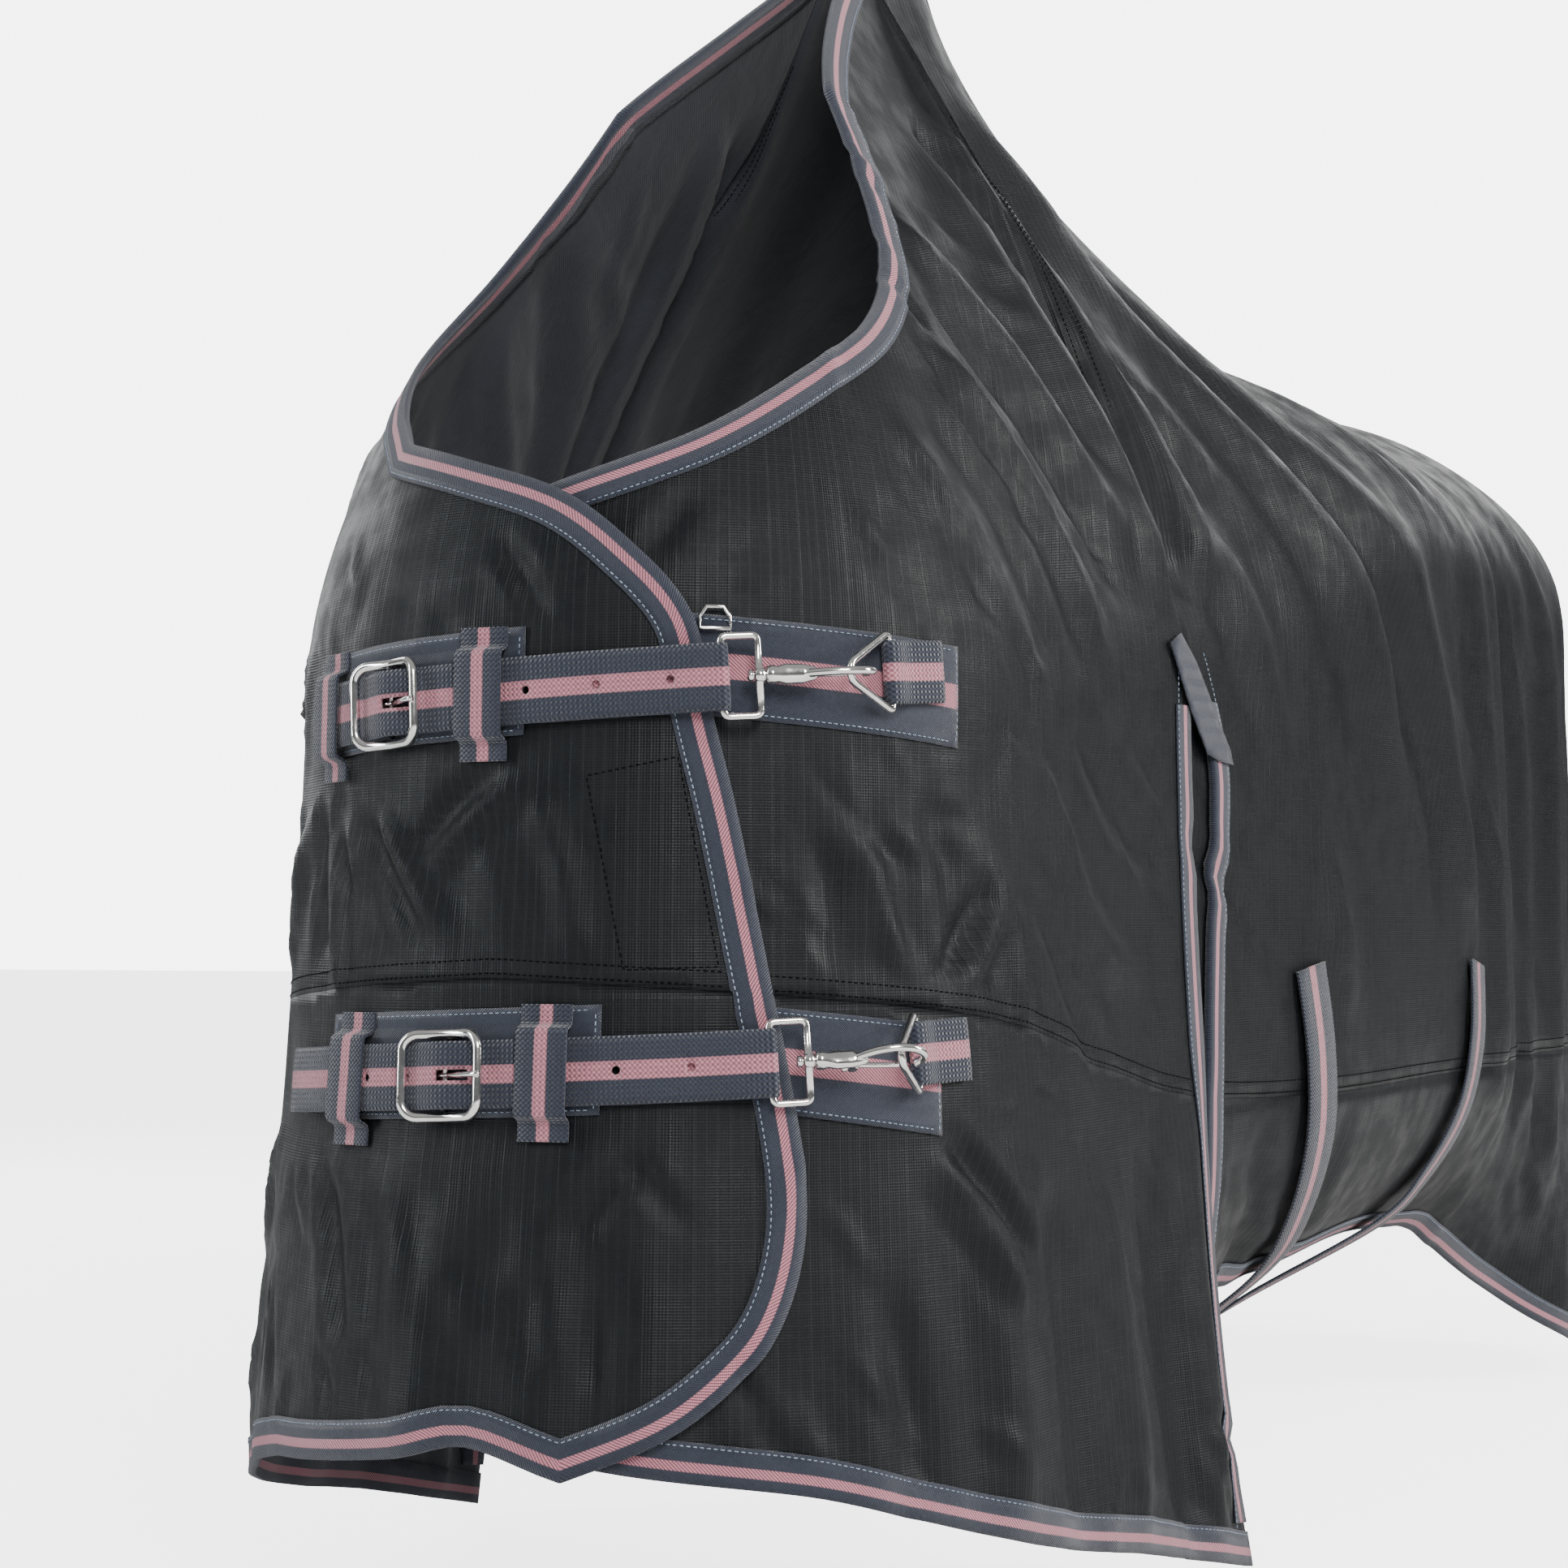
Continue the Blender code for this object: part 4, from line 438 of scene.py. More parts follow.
def fill(outline, spacing, holes=(), lines=()):
    """Triangles that fill a flat outline, with holes left out and the given lines kept as edges.

    spacing is the distance between inner points, as one number or as (along s, along v).
    """
    loops = [list(outline)] + [list(h) for h in holes]
    xs, ys = zip(*outline)
    dx, dy = spacing if isinstance(spacing, tuple) else (spacing, spacing)
    spacing = min(dx, dy)
    nx = max(1, round((max(xs) - min(xs)) / dx))
    ny = max(1, round((max(ys) - min(ys)) / dy))
    grid = np.array([(x, y) for x in np.linspace(min(xs), max(xs), nx + 1)
                     for y in np.linspace(min(ys), max(ys), ny + 1)])
    keep = inside(loops[0], grid)
    for loop in loops:
        keep &= gap_to(grid, loop + loop[:1]) > 0.55 * spacing
    for hole in loops[1:]:
        keep &= ~inside(hole, grid)
    for line in lines:
        keep &= gap_to(grid, line) > 0.55 * spacing
    pts, edges = [], []
    for loop in loops:
        start = len(pts)
        pts += loop
        edges += [(start + i, start + (i + 1) % len(loop)) for i in range(len(loop))]
    for line in lines:
        start = len(pts)
        pts += line
        edges += [(start + i, start + i + 1) for i in range(len(line) - 1)]
    pts += [tuple(p) for p in grid[keep]]
    out = delaunay_2d_cdt([Vector(p) for p in pts], edges, [], 0, 1e-6)
    flat = [(p.x, p.y) for p in out[0]]
    tris = [list(f) for f in out[2]]
    centre = np.array([np.mean([flat[i] for i in t], axis=0) for t in tris])
    use = inside(loops[0], centre)
    for hole in loops[1:]:
        use &= ~inside(hole, centre)
    area = lambda t: abs((flat[t[1]][0] - flat[t[0]][0]) * (flat[t[2]][1] - flat[t[0]][1])
                         - (flat[t[2]][0] - flat[t[0]][0]) * (flat[t[1]][1] - flat[t[0]][1]))
    tris = [t for t, ok in zip(tris, use) if ok and area(t) > 1e-9]
    ccw = []
    for a, b, c in tris:
        (x0, y0), (x1, y1), (x2, y2) = flat[a], flat[b], flat[c]
        ccw.append([a, b, c] if (x1 - x0) * (y2 - y0) > (x2 - x0) * (y1 - y0) else [a, c, b])
    used = sorted({i for t in ccw for i in t})
    index = {old: new for new, old in enumerate(used)}
    return [flat[i] for i in used], [[index[i] for i in t] for t in ccw]


def join(*fills):
    """Two patterns that share an edge, as one."""
    verts, index, tris = [], {}, []
    for pts, faces in fills:
        local = []
        for p in pts:
            key = (round(p[0], 5), round(p[1], 5))
            if key not in index:
                index[key] = len(verts)
                verts.append(p)
            local.append(index[key])
        tris += [[local[i] for i in t] for t in faces]
    return verts, tris


def plate(name, pattern, place, low, high, mat):
    """Closed slab over a flat pattern; place(u, w, lift) puts a pattern point in space."""
    flat, tris = pattern
    n = len(flat)
    verts = [place(u, w, high) for u, w in flat] + [place(u, w, low) for u, w in flat]
    faces = [list(t) for t in tris] + [[i + n for i in reversed(t)] for t in tris]
    once = {}
    for t in tris:
        for a, b in zip(t, t[1:] + t[:1]):
            if (b, a) in once:
                del once[(b, a)]
            else:
                once[(a, b)] = True
    faces += [[b, a, a + n, b + n] for a, b in once]
    return new_object(name, verts, faces, mat, [(u, w, 0) for u, w in flat] * 2)


def nudge(pattern, line, shift):
    """Moves the pattern points that lie on a seam line away from it, which opens the seam gap."""
    flat, tris = pattern
    flat = [(s + shift[0], v + shift[1]) if line(s, v) else (s, v) for s, v in flat]
    return flat, tris


def samples(start, end, step):
    n = max(1, math.ceil(abs(end - start) / step))
    return [start + (end - start) * i / n for i in range(n + 1)]


INWARD_STEPS = 6


def inward(points, width):
    """The line a width inside a counter-clockwise edge line, measured on the cloth."""
    result = []
    space = [skin(*p) for p in points]
    for i, (s, v) in enumerate(points):
        a, b = max(i - 1, 0), min(i + 1, len(points) - 1)
        mitre = 1.0
        if a < i < b:
            into, off = space[i] - space[a], space[b] - space[i]
            into, off = unit(into), unit(off)
            mitre = min(1.45, 1 / max(0.3, float(np.linalg.norm(into + off)) / 2))
            t_space = into + off
        else:
            t_space = space[b] - space[a]
        e = 0.003
        for _ in range(INWARD_STEPS):
            js = (skin(s + e, v) - skin(s - e, v)) / (2 * e)
            jv = (skin(s, v + e) - skin(s, v - e)) / (2 * e)
            if np.linalg.norm(jv) < 0.9:
                jv = (skin(s, v) - skin(s, v - e)) / e
            b = np.cross(np.cross(js, jv), t_space)
            b *= width * mitre / INWARD_STEPS / np.linalg.norm(b)
            d = np.linalg.lstsq(np.stack([js, jv], axis=1), b, rcond=None)[0]
            s, v = s + float(d[0]), v + float(d[1])
        result.append((s, v))
    return result


def round_line(points, step):
    """Smooth line through the points, sampled at about the given step."""
    p = extended(points)
    out = [tuple(p[1])]
    for i in range(1, len(p) - 2):
        n = max(1, round(float(np.linalg.norm(p[i + 1] - p[i])) / step))
        out += [tuple(spline(*p[i - 1:i + 3], k / n)) for k in range(1, n + 1)]
    return out


def trimmed(rings, start, end):
    """Cuts a length off each end of a row of rings."""
    for length in (start, end):
        while length > 0:
            step = float(np.linalg.norm(rings[1][0] - rings[0][0]))
            if step > length:
                t = length / step
                rings[0] = [p + (q - p) * t for p, q in zip(rings[0], rings[1])]
                break
            length -= step
            rings = rings[1:]
        rings = rings[::-1]
    return rings


TAPE_ACROSS = [0, 0.25, 0.5, 0.75, 1]


def binding(name, edge, inner, base, mat, start, end):
    """Tape folded over a cut edge, covering both faces of the cloth and following its folds."""
    gap, low = 0.0006, LINING_LOW
    rings, faces = [], []
    for (s, v), (si, vi) in zip(edge, inner):
        out = unit(at(s, v, base(s)) - at(si, vi, base(si)))

        def face(lift, push):
            """Row of points from the tape's inner line to its fold, at one height above the cloth."""
            spots = [(si + (s - si) * q, vi + (v - vi) * q) for q in TAPE_ACROSS]
            row = [at(x, y, base(x) + lift) for x, y in spots]
            row[-1] = row[-1] + out * push
            return row

        rings.append(face(gap + TAPE, gap + TAPE) + face(low - gap - TAPE, gap + TAPE)[::-1]
                     + face(low - gap, gap) + face(gap, gap)[::-1])
    rings = trimmed(rings, start, end)
    verts = [p for ring in rings for p in ring]
    mids = [(ring[0] + ring[len(TAPE_ACROSS) - 1]) / 2 for ring in rings]
    run = run_along(mids)
    span = [BIND * (1 - q) for q in TAPE_ACROSS]
    weave = [(u, w, 0) for u in run for w in 2 * (span + span[::-1])]
    around = 4 * len(TAPE_ACROSS)
    for i in range(len(rings) - 1):
        for k in range(around):
            a, b = i * around + k, i * around + (k + 1) % around
            faces.append([a, a + around, b + around, b])
    n = (len(rings) - 1) * around
    for k in range(around // 2 - 1):
        cap = [k, k + 1, around - 2 - k, around - 1 - k]
        faces += [cap, [n + i for i in cap[::-1]]]
    obj = new_object(name, verts, faces, mat, weave)
    outward(obj)
    return obj


def outward(obj):
    """Turns every face of a closed mesh outward."""
    mesh = obj.data
    p = [v.co for v in mesh.vertices]
    total = 0.0
    for f in mesh.polygons:
        q = [p[i] for i in f.vertices]
        total += sum(q[0].dot(q[i].cross(q[i + 1])) for i in range(1, len(q) - 1))
    if total < 0:
        mesh.flip_normals()


def flat_base(s):
    return 0.0


def flap_base(s):
    """Extra height of the off-side front panel where it crosses over the near side."""
    return FLAP_LIFT * ease((s + 0.16) / 0.10)


# ---- rows, straps and wires ----
def sweep(name, rings, mat, closed=False, weave=None):
    """Closed tube through rings of points, with flat ends unless it closes on itself."""
    m = len(rings[0])
    verts = [p for ring in rings for p in ring]
    n = len(rings)
    faces = []
    for i in range(n if closed else n - 1):
        j = (i + 1) % n
        for k in range(m):
            faces.append([i * m + k, i * m + (k + 1) % m, j * m + (k + 1) % m, j * m + k])
    if not closed:
        faces += [list(range(m))[::-1], list(range((n - 1) * m, n * m))]
    obj = new_object(name, verts, faces, mat, weave)
    outward(obj)
    return obj


def axes_at(x, y, z, origin):
    """Matrix with the given axes and origin."""
    return Matrix([[x[i], y[i], z[i], origin[i]] for i in range(3)] + [[0, 0, 0, 1]])


def frame_on(s, v, lift):
    """Matrix on the cloth: x runs back along the station, y up the cloth, z out of it."""
    n = normal_at(s, v)
    up = skin(s, v + 0.004) - skin(s, v - 0.004)
    x = unit(np.cross(up, n))
    return axes_at(x, np.cross(n, x), n, at(s, v, lift))


def world(matrix, x, y, z):
    return np.array(matrix @ Vector((x, y, z)))


class Path:
    """Webbing laid along a line; u is the distance along it, w across it, h out from its lower face."""

    def __init__(self, points, normals):
        self.pts = np.array(points)
        self.nrm = np.array(normals)
        self.u = np.concatenate([[0], np.cumsum(np.linalg.norm(np.diff(self.pts, axis=0), axis=1))])

    def length(self):
        return float(self.u[-1])

    def pick(self, rows, u):
        return np.array([np.interp(u, self.u, rows[:, i]) for i in range(3)])

    def frame(self, u):
        reach = 0.0015
        ahead, behind = min(u + reach, self.u[-1]), max(u - reach, 0)
        t = unit(self.pick(self.pts, ahead) - self.pick(self.pts, behind))
        n = self.pick(self.nrm, u)
        n = unit(n - t * (n @ t))
        return self.pick(self.pts, u), t, np.cross(n, t), n

    def place(self, u, w, h):
        p, _, across, n = self.frame(u)
        return p + across * w + n * h

    def matrix(self, u):
        p, t, across, n = self.frame(u)
        return axes_at(t, across, n, p)

    def web(self, name, stations, width, thick, mat, holes=()):
        """Closed webbing over the stations, with holes given as outlines in (u, w)."""
        half = width / 2
        across = [-half + width * k / 8 for k in range(9)]
        outline = [(u, -half) for u in stations] + [(stations[-1], w) for w in across[1:-1]] \
            + [(u, half) for u in stations[::-1]] + [(stations[0], w) for w in across[-2:0:-1]]
        rows = []
        for u in stations[1:-1]:
            if all(u < min(p[0] for p in h) - .0004 or u > max(p[0] for p in h) + .0004 for h in holes):
                rows.append([(u, w) for w in across])
            else:
                rows += [[(u, w) for w in across[:3]], [(u, w) for w in across[-3:]]]
        pattern = fill(outline, 1.0, holes, rows)

        def crown(u, w, h):
            """Place on the webbing, which thins out towards its edges."""
            thin = 0.0005 * (abs(w) / half) ** 6
            return self.place(u, w, h - thin if h else thin)

        return plate(name, pattern, crown, 0.0, thick, mat)


def curve(points, n=6):
    """Smooth line through points in space."""
    p = extended(points)
    out = [p[1]]
    for i in range(1, len(p) - 2):
        out += [spline(*p[i - 1:i + 3], k / n) for k in range(1, n + 1)]
    return out


# a direction that no wire or cylinder runs along
ANY_WAY = (0.31, 0.2, 0.93)


def wire(name, points, radius, mat, closed=True, bend=0.0, around=20):
    """Round wire through points, with its corners rounded."""
    if bend:
        rounded = []
        n = len(points)
        for i, p in enumerate(points):
            p = np.array(p, float)
            if not closed and i in (0, n - 1):
                rounded.append(p)
                continue
            a, b = np.array(points[i - 1], float) - p, np.array(points[(i + 1) % n], float) - p
            r = min(bend, 0.49 * np.linalg.norm(a), 0.49 * np.linalg.norm(b))
            a, b = p + unit(a) * r, p + unit(b) * r
            for k in range(9):
                t = k / 8
                rounded.append(a * (1 - t) ** 2 + p * 2 * t * (1 - t) + b * t * t)
        points = rounded
    points = [np.array(p, float) for p in points]
    n = len(points)
    rings = []
    side = None
    for i, p in enumerate(points):
        if closed:
            t = points[(i + 1) % n] - points[i - 1]
        else:
            t = points[min(i + 1, n - 1)] - points[max(i - 1, 0)]
        t = unit(t)
        if side is None:
            side = np.cross(t, ANY_WAY)
        side = unit(side - t * (side @ t))
        up = np.cross(t, side)
        rings.append([p + radius * (side * math.cos(a) + up * math.sin(a))
                      for a in [2 * math.pi * (k + 0.5) / around for k in range(around)]])
    if closed:
        # match the last ring to the first one after going round the loop
        last, first = rings[-1], rings[0]
        shift = min(range(around), key=lambda k: sum(
            np.linalg.norm(np.array(last[(j + k) % around]) - first[j]) for j in range(around)))
        if shift:
            twist = 2 * math.pi * shift / around
            turned = []
            for i, ring in enumerate(rings):
                centre = np.mean(ring, axis=0)
                a = twist * i / (n - 1)
                x, y = ring[0] - centre, ring[around // 4] - centre
                turned.append([centre + x * math.cos(a + 2 * math.pi * k / around)
                               + y * math.sin(a + 2 * math.pi * k / around) for k in range(around)])
            rings = turned
    return sweep(name, rings, mat, closed)


def cylinder(name, start, end, radius, mat, around=36):
    start, end = np.array(start, float), np.array(end, float)
    t = unit(end - start)
    side = unit(np.cross(t, ANY_WAY))
    up = np.cross(t, side)
    ring = [side * math.cos(a) + up * math.sin(a) for a in
            [2 * math.pi * k / around for k in range(around)]]
    return sweep(name, [[p + radius * r for r in ring] for p in (start, end)], mat)


def combine(obj, other, operation="UNION"):
    """Boolean of one part with a helper solid, which is then removed."""
    mod = obj.modifiers.new(other.name, "BOOLEAN")
    mod.operation = operation
    mod.solver = "EXACT"
    mod.object = other
    graph = bpy.context.evaluated_depsgraph_get()
    mesh = bpy.data.meshes.new_from_object(obj.evaluated_get(graph))
    obj.modifiers.clear()
    obj.data = mesh
    PIECES.pop(other.name.removesuffix("_look"))
    bpy.data.objects.remove(other, do_unlink=True)
    return obj


# ======================= cloth =======================
NECK_S = [.72, .70, .68, GUSSET, .63, .60, .57, .54, .51, .48, .45, .42, .39, .36, .33, .30, .27, .24, .20,
          .16, .12, .08, .04, UNDERLAP + BIND, UNDERLAP]
CREST_TURN = 0.748
SEAM_CROSS = 0.1515
FRONT_S = [UNDERLAP, UNDERLAP + BIND, .03, .07, .11, .15, .19, .23, .27, .31, .35, .39, .43, .47, .51, .55,
           .595, GUSSET - BIND, GUSSET]
BODY_FRONT = 0.664
BODY_S = [BODY_FRONT, BODY_FRONT + BIND, .73, .79, .85, .92, 1.0, 1.1, 1.2, 1.3, 1.4, 1.48, 1.56, 1.64, 1.72,
          1.81, 1.9, REAR]
SPINE_S = [.72, CREST_TURN, .775, .81, .85, .90, .95, 1.0, 1.06, 1.12, 1.2, 1.3, 1.4, 1.5, 1.6, 1.7, 1.8, 1.9,
           REAR - BIND, REAR]
BODY_EDGE = [(BODY_FRONT, -.69), (BODY_FRONT, -.625), (.672, -.57), (.682, -.51), (.692, -.45),
             (.697, -.395), (.682, -.35), (.660, -.31)]
SLIT_TOP = -.31
SHOULDER_V = [-.25, -.19, -.13, -.07, -.01, .05]
FINE = 0.010


def dense(values, step=FINE):
    """The same list with more values between its own."""
    out = [values[0]]
    for a, b in zip(values, values[1:]):
        n = max(1, round(abs(b - a) / step))
        out += [a + (b - a) * k / n for k in range(1, n)] + [b]
    return out


NECK_S, FRONT_S, BODY_S, SPINE_S = dense(NECK_S, 0.006), dense(FRONT_S), dense(BODY_S), dense(SPINE_S)
SHOULDER_V = dense(SHOULDER_V)
BODY_EDGE = round_line(BODY_EDGE[:2], 0.01)[:-1] + round_line(BODY_EDGE[1:], 0.01)


def neck_line(s):
    return cloth_height(s, along(NECK, abs(s)))


def seam_point(s):
    return (s, along(SEAM, abs(s)))


def on_seam(s, v):
    return abs(v - along(SEAM, abs(s))) < 2e-6


def at_gusset(s, v):
    return abs(abs(s) - GUSSET) < 1e-6 and v > SLIT_TOP - 1e-6


def mirrored(pattern):
    flat, tris = pattern
    return [(-s, v) for s, v in flat], [t[::-1] for t in tris]


def mirror_line(line):
    return [(-s, v) for s, v in line][::-1]


@lru_cache(maxsize=1)
def edges():
    """Each bound edge as (edge line, line one tape width inside it), counter-clockwise about its cloth."""
    e = {}
    neck = [(s, neck_line(s)) for s in NECK_S]
    neck_in = inward(neck, BIND)
    neck_in = [(s, min(v, top_of(s) - 0.0004)) for s, v in neck_in]
    neck_in[0] = (CREST_TURN, top_of(CREST_TURN) - 0.0004)
    g = NECK_S.index(GUSSET)
    (s0, v0), (s1, v1) = sorted([neck_in[g - 1], neck_in[g + 1]])
    neck_in[g] = (GUSSET, v0 + (v1 - v0) * (GUSSET - s0) / (s1 - s0))
    for k in range(NECK_S.index(UNDERLAP + BIND), len(neck)):
        neck_in[k] = (neck[k][0], neck[k][1] - BIND * 1.06)
    e["neck"] = neck, neck_in
    hem_v = lambda s: along(HEM_FRONT, max(s, 0))
    low = hem_v(UNDERLAP)
    side_v, low_v = dense([-.295, -.525]), dense([-.55, -.765])
    under_v = [neck[-1][1], neck_in[-1][1]] + side_v + [seam_point(UNDERLAP)[1]] \
        + low_v + [low + BIND, low]
    under = [(UNDERLAP, v) for v in under_v]
    under_in = [neck_in[NECK_S.index(UNDERLAP + BIND)]] + [(UNDERLAP + BIND, v) for v in side_v] \
        + [seam_point(UNDERLAP + BIND)] + [(UNDERLAP + BIND, v) for v in low_v] \
        + [(UNDERLAP + BIND, low + BIND)]
    e["under"] = under[1:-1], under_in
    e["under_all"] = under
    hem = [(s, hem_v(s)) for s in FRONT_S]
    e["hem"] = hem, [(s, v + BIND) for s, v in hem]
    low = hem[-1][1]
    low_v, high_v = dense([-.91, -.64]), dense([-.61, SLIT_TOP])
    slit_v = [low, low + BIND] + low_v + [seam_point(GUSSET)[1]] + high_v
    e["slit_all"] = [(GUSSET, v) for v in slit_v]
    e["slit"] = [(GUSSET, v) for v in slit_v[1:]], [(GUSSET - BIND, hem_v(GUSSET - BIND) + BIND)] \
        + [(GUSSET - BIND, v) for v in low_v] + [seam_point(GUSSET - BIND)] \
        + [(GUSSET - BIND, v) for v in high_v]
    cross = seam_point(SEAM_CROSS)
    keys = [(-.12, neck_line(-.12))] + FLAP_EDGE[1:8] + [cross] + FLAP_EDGE[8:]
    flap = round_line(keys, 0.008)[::-1]
    k = min(range(len(flap)), key=lambda i: abs(flap[i][0] - cross[0]) + abs(flap[i][1] - cross[1]))
    flap[k] = cross
    off_hem = [(-s, hem_v(s)) for s in FRONT_S[::-1] if s >= .15] \
        + round_line([(-.15, hem_v(.15))] + FLAP_HEM[::-1] + [FLAP_EDGE[-1]], FINE)[1:-1]
    off_neck = [(-s, neck_line(s)) for s in NECK_S[::-1] if s >= .16]
    whole = off_hem + flap + off_neck
    whole_in = inward(whole, BIND)
    for i, (s, v) in enumerate(whole):
        if s < -0.145 and v < -0.7:
            whole_in[i] = (s, v + BIND)
        if s <= -0.16 and v > -0.3:
            whole_in[i] = (-neck_in[NECK_S.index(-s)][0], neck_in[NECK_S.index(-s)][1])
    c = whole.index(cross)
    whole_in[c] = seam_point(whole_in[c][0])
    e["off"] = whole, whole_in
    e["off_parts"] = off_hem, flap, off_neck, whole_in[c]
    body = BODY_EDGE[::-1] + [(BODY_FRONT, -.74), (BODY_FRONT, along(HEM_BODY, BODY_FRONT) + BIND)]
    body_in = [(s + BIND, v) for s, v in body]
    b = next(i for i, p in enumerate(body) if p == (BODY_FRONT, -.625))
    body[b], body_in[b] = seam_point(BODY_FRONT), seam_point(BODY_FRONT + BIND)
    body_in[-1] = (BODY_FRONT + BIND, along(HEM_BODY, BODY_FRONT + BIND) + BIND)
    e["body_front"] = body, body_in
    hem = [(s, along(HEM_BODY, s)) for s in BODY_S]
    seam_v, top = seam_point(REAR)[1], top_of(REAR)
    rear_v = samples(hem[-1][1], seam_v, FINE)[1:] + samples(seam_v, top, FINE)[1:]
    rear = [(REAR, v) for v in rear_v]
    rear_in = [(REAR - BIND, max(v, hem[-1][1] + BIND)) for v in rear_v]
    rear_in[rear_v.index(seam_v)] = seam_point(REAR - BIND)
    rear_in[-1] = (REAR - BIND, top_of(REAR - BIND))
    e["body_hem"] = hem + rear, [(min(s, REAR - BIND), v + BIND) for s, v in hem] + rear_in
    e["body_parts"] = hem, rear
    return e


def tape_lines(key, mirror):
    """Edge and inner line of a bound edge's tape, without the corner that the patterns have at the gusset."""
    line, inner = edges()[key]
    inner = list(inner)
    if key in ("neck", "off"):
        for i in range(1, len(line) - 1):
            if abs(abs(line[i][0]) - GUSSET) < 1e-6 and line[i][1] > 0:
                inner[i] = tuple((a + b) / 2 for a, b in zip(inner[i - 1], inner[i + 1]))
    if mirror:
        line, inner = mirror_line(line), mirror_line(inner)
    return line, inner


def front_patterns():
    """Flat patterns of the front panels: near upper, near lower, off upper, off lower."""
    e = edges()
    neck, neck_in = e["neck"]
    under, slit, hem = e["under_all"], e["slit_all"], e["hem"][0]
    off_hem, flap, off_neck, flap_seam_in = e["off_parts"]
    seam = [seam_point(s) for s in FRONT_S]
    g = NECK_S.index(GUSSET)
    shoulder = [(GUSSET, v) for v in SHOULDER_V if v < neck_in[g][1] - 0.02] + [neck_in[g]]
    neck_near = [p for p in neck if p[0] <= GUSSET]
    tall = lambda line, level: [p for p in line if p[1] > level + 0.001]
    low = lambda line, level: [p for p in line if p[1] < level - 0.001]
    slit_up, slit_low = tall(slit, seam[-1][1]), low(slit, seam[-1][1])[1:]
    under_up, under_low = tall(under, seam[0][1])[1:], low(under, seam[0][1])[:-1]
    near = [fill(seam + slit_up + shoulder + neck_near + under_up, FRONT_GRID),
            fill(hem + slit_low + seam[::-1] + under_low, FRONT_GRID)]
    cross = seam_point(SEAM_CROSS)
    k = flap.index(cross)
    off_seam = [seam_point(-s) for s in FRONT_S[::-1] if s > 0.015] \
        + [seam_point(s) for s in dense([-.01, .12])] + [flap_seam_in, cross]
    upper = off_seam + flap[k + 1:] + [p for p in off_neck if p[0] >= -GUSSET] \
        + mirror_line(shoulder) + mirror_line(slit_up)
    lower = off_hem + flap[:k] + off_seam[::-1] + mirror_line(slit_low)
    return near + [fill(upper, FRONT_GRID), fill(lower, FRONT_GRID)]


def body_patterns():
    e = edges()
    neck, neck_in = e["neck"]
    hem, rear = e["body_parts"]
    seam = [seam_point(s) for s in BODY_S]
    rear_up = [p for p in rear if p[1] > seam[-1][1] + .001]
    rear_low = [p for p in rear if p[1] < seam[-1][1] - .001]
    spine = [(s, top_of(s)) for s in SPINE_S[-2:0:-1]]
    g = NECK_S.index(GUSSET)
    shoulder = [(GUSSET, v) for v in SHOULDER_V if v < neck_in[g][1] - 0.02] + [neck_in[g]]
    front = e["body_front"][0]
    down = shoulder[::-1] + [(GUSSET, SLIT_TOP)] + [p for p in front if p[1] > seam[0][1] + .001][1:]
    front_low = [p for p in front if p[1] < seam[0][1] - .001]
    upper = seam + rear_up + spine + neck[:g + 1] + down
    lower = hem + rear_low + seam[::-1] + front_low
    return [fill(upper, BODY_GRID), fill(lower, BODY_GRID)]


def on_cloth(base):
    return lambda s, v, lift: at(s, v, base(s) + lift)


SHEETS = {}


def note_sheet(name, pattern):
    """Keeps the flat size of a cut piece: width, length and area."""
    flat, tris = pattern
    p = np.array(flat)
    a, b, c = (p[[t[i] for t in tris]] for i in range(3))
    b, c = b - a, c - a
    area = float(np.abs(b[:, 0] * c[:, 1] - c[:, 0] * b[:, 1]).sum() / 2)
    SHEETS[name] = (*map(float, p.max(axis=0) - p.min(axis=0)), area)


def make_cloth():
    near_up, near_low, off_up, off_low = front_patterns()
    body_up, body_low = body_patterns()
    flat_, flap_ = on_cloth(flat_base), on_cloth(flap_base)

    def sew(pattern, seam_side, gusset_side):
        pattern = nudge(pattern, on_seam, (0, seam_side * GAP / 2))
        return nudge(pattern, at_gusset, (gusset_side * GAP / 2, 0))

    def panel(name, pattern, place, seam_side, gusset_side):
        note_sheet(name, pattern)
        plate(name, sew(pattern, seam_side, gusset_side), place, -SHELL, 0.0, SHELL_CLOTH)

    def lining(name, pattern, place, side):
        note_sheet(name, pattern)
        plate(name, sew(pattern, 0, side), place, LINING_LOW, LINING_TOP, LINING_CLOTH)

    panel("front_upper_near", near_up, flat_, 1, -1)
    panel("front_lower_near", near_low, flat_, -1, 0)
    panel("front_upper_off", off_up, flap_, 1, 1)
    panel("front_lower_off", off_low, flap_, -1, 0)
    panel("body_upper_near", body_up, flat_, 1, 1)
    panel("body_lower_near", body_low, flat_, -1, 0)
    panel("body_upper_off", mirrored(body_up), flat_, 1, -1)
    panel("body_lower_off", mirrored(body_low), flat_, -1, 0)
    lining("lining_front_near", join(near_up, near_low), flat_, -1)
    lining("lining_front_off", join(off_up, off_low), flap_, 1)
    body = join(body_up, body_low)
    lining("lining_body_near", body, flat_, 1)
    lining("lining_body_off", mirrored(body), flat_, -1)
    gusset = fill([(.640, -.595), (.665, -.595), (.690, -.595), (.700, -.53), (.715, -.46), (.722, -.395),
                   (.705, -.34), (.672, -.29), (.652, -.29), (.645, -.36), (.640, -.44), (.640, -.52)], 0.008)
    for name, pattern in (("gusset_near", gusset), ("gusset_off", mirrored(gusset))):
        note_sheet(name, pattern)
        plate(name, pattern, flat_, -0.0060, -0.0052, SHELL_CLOTH)


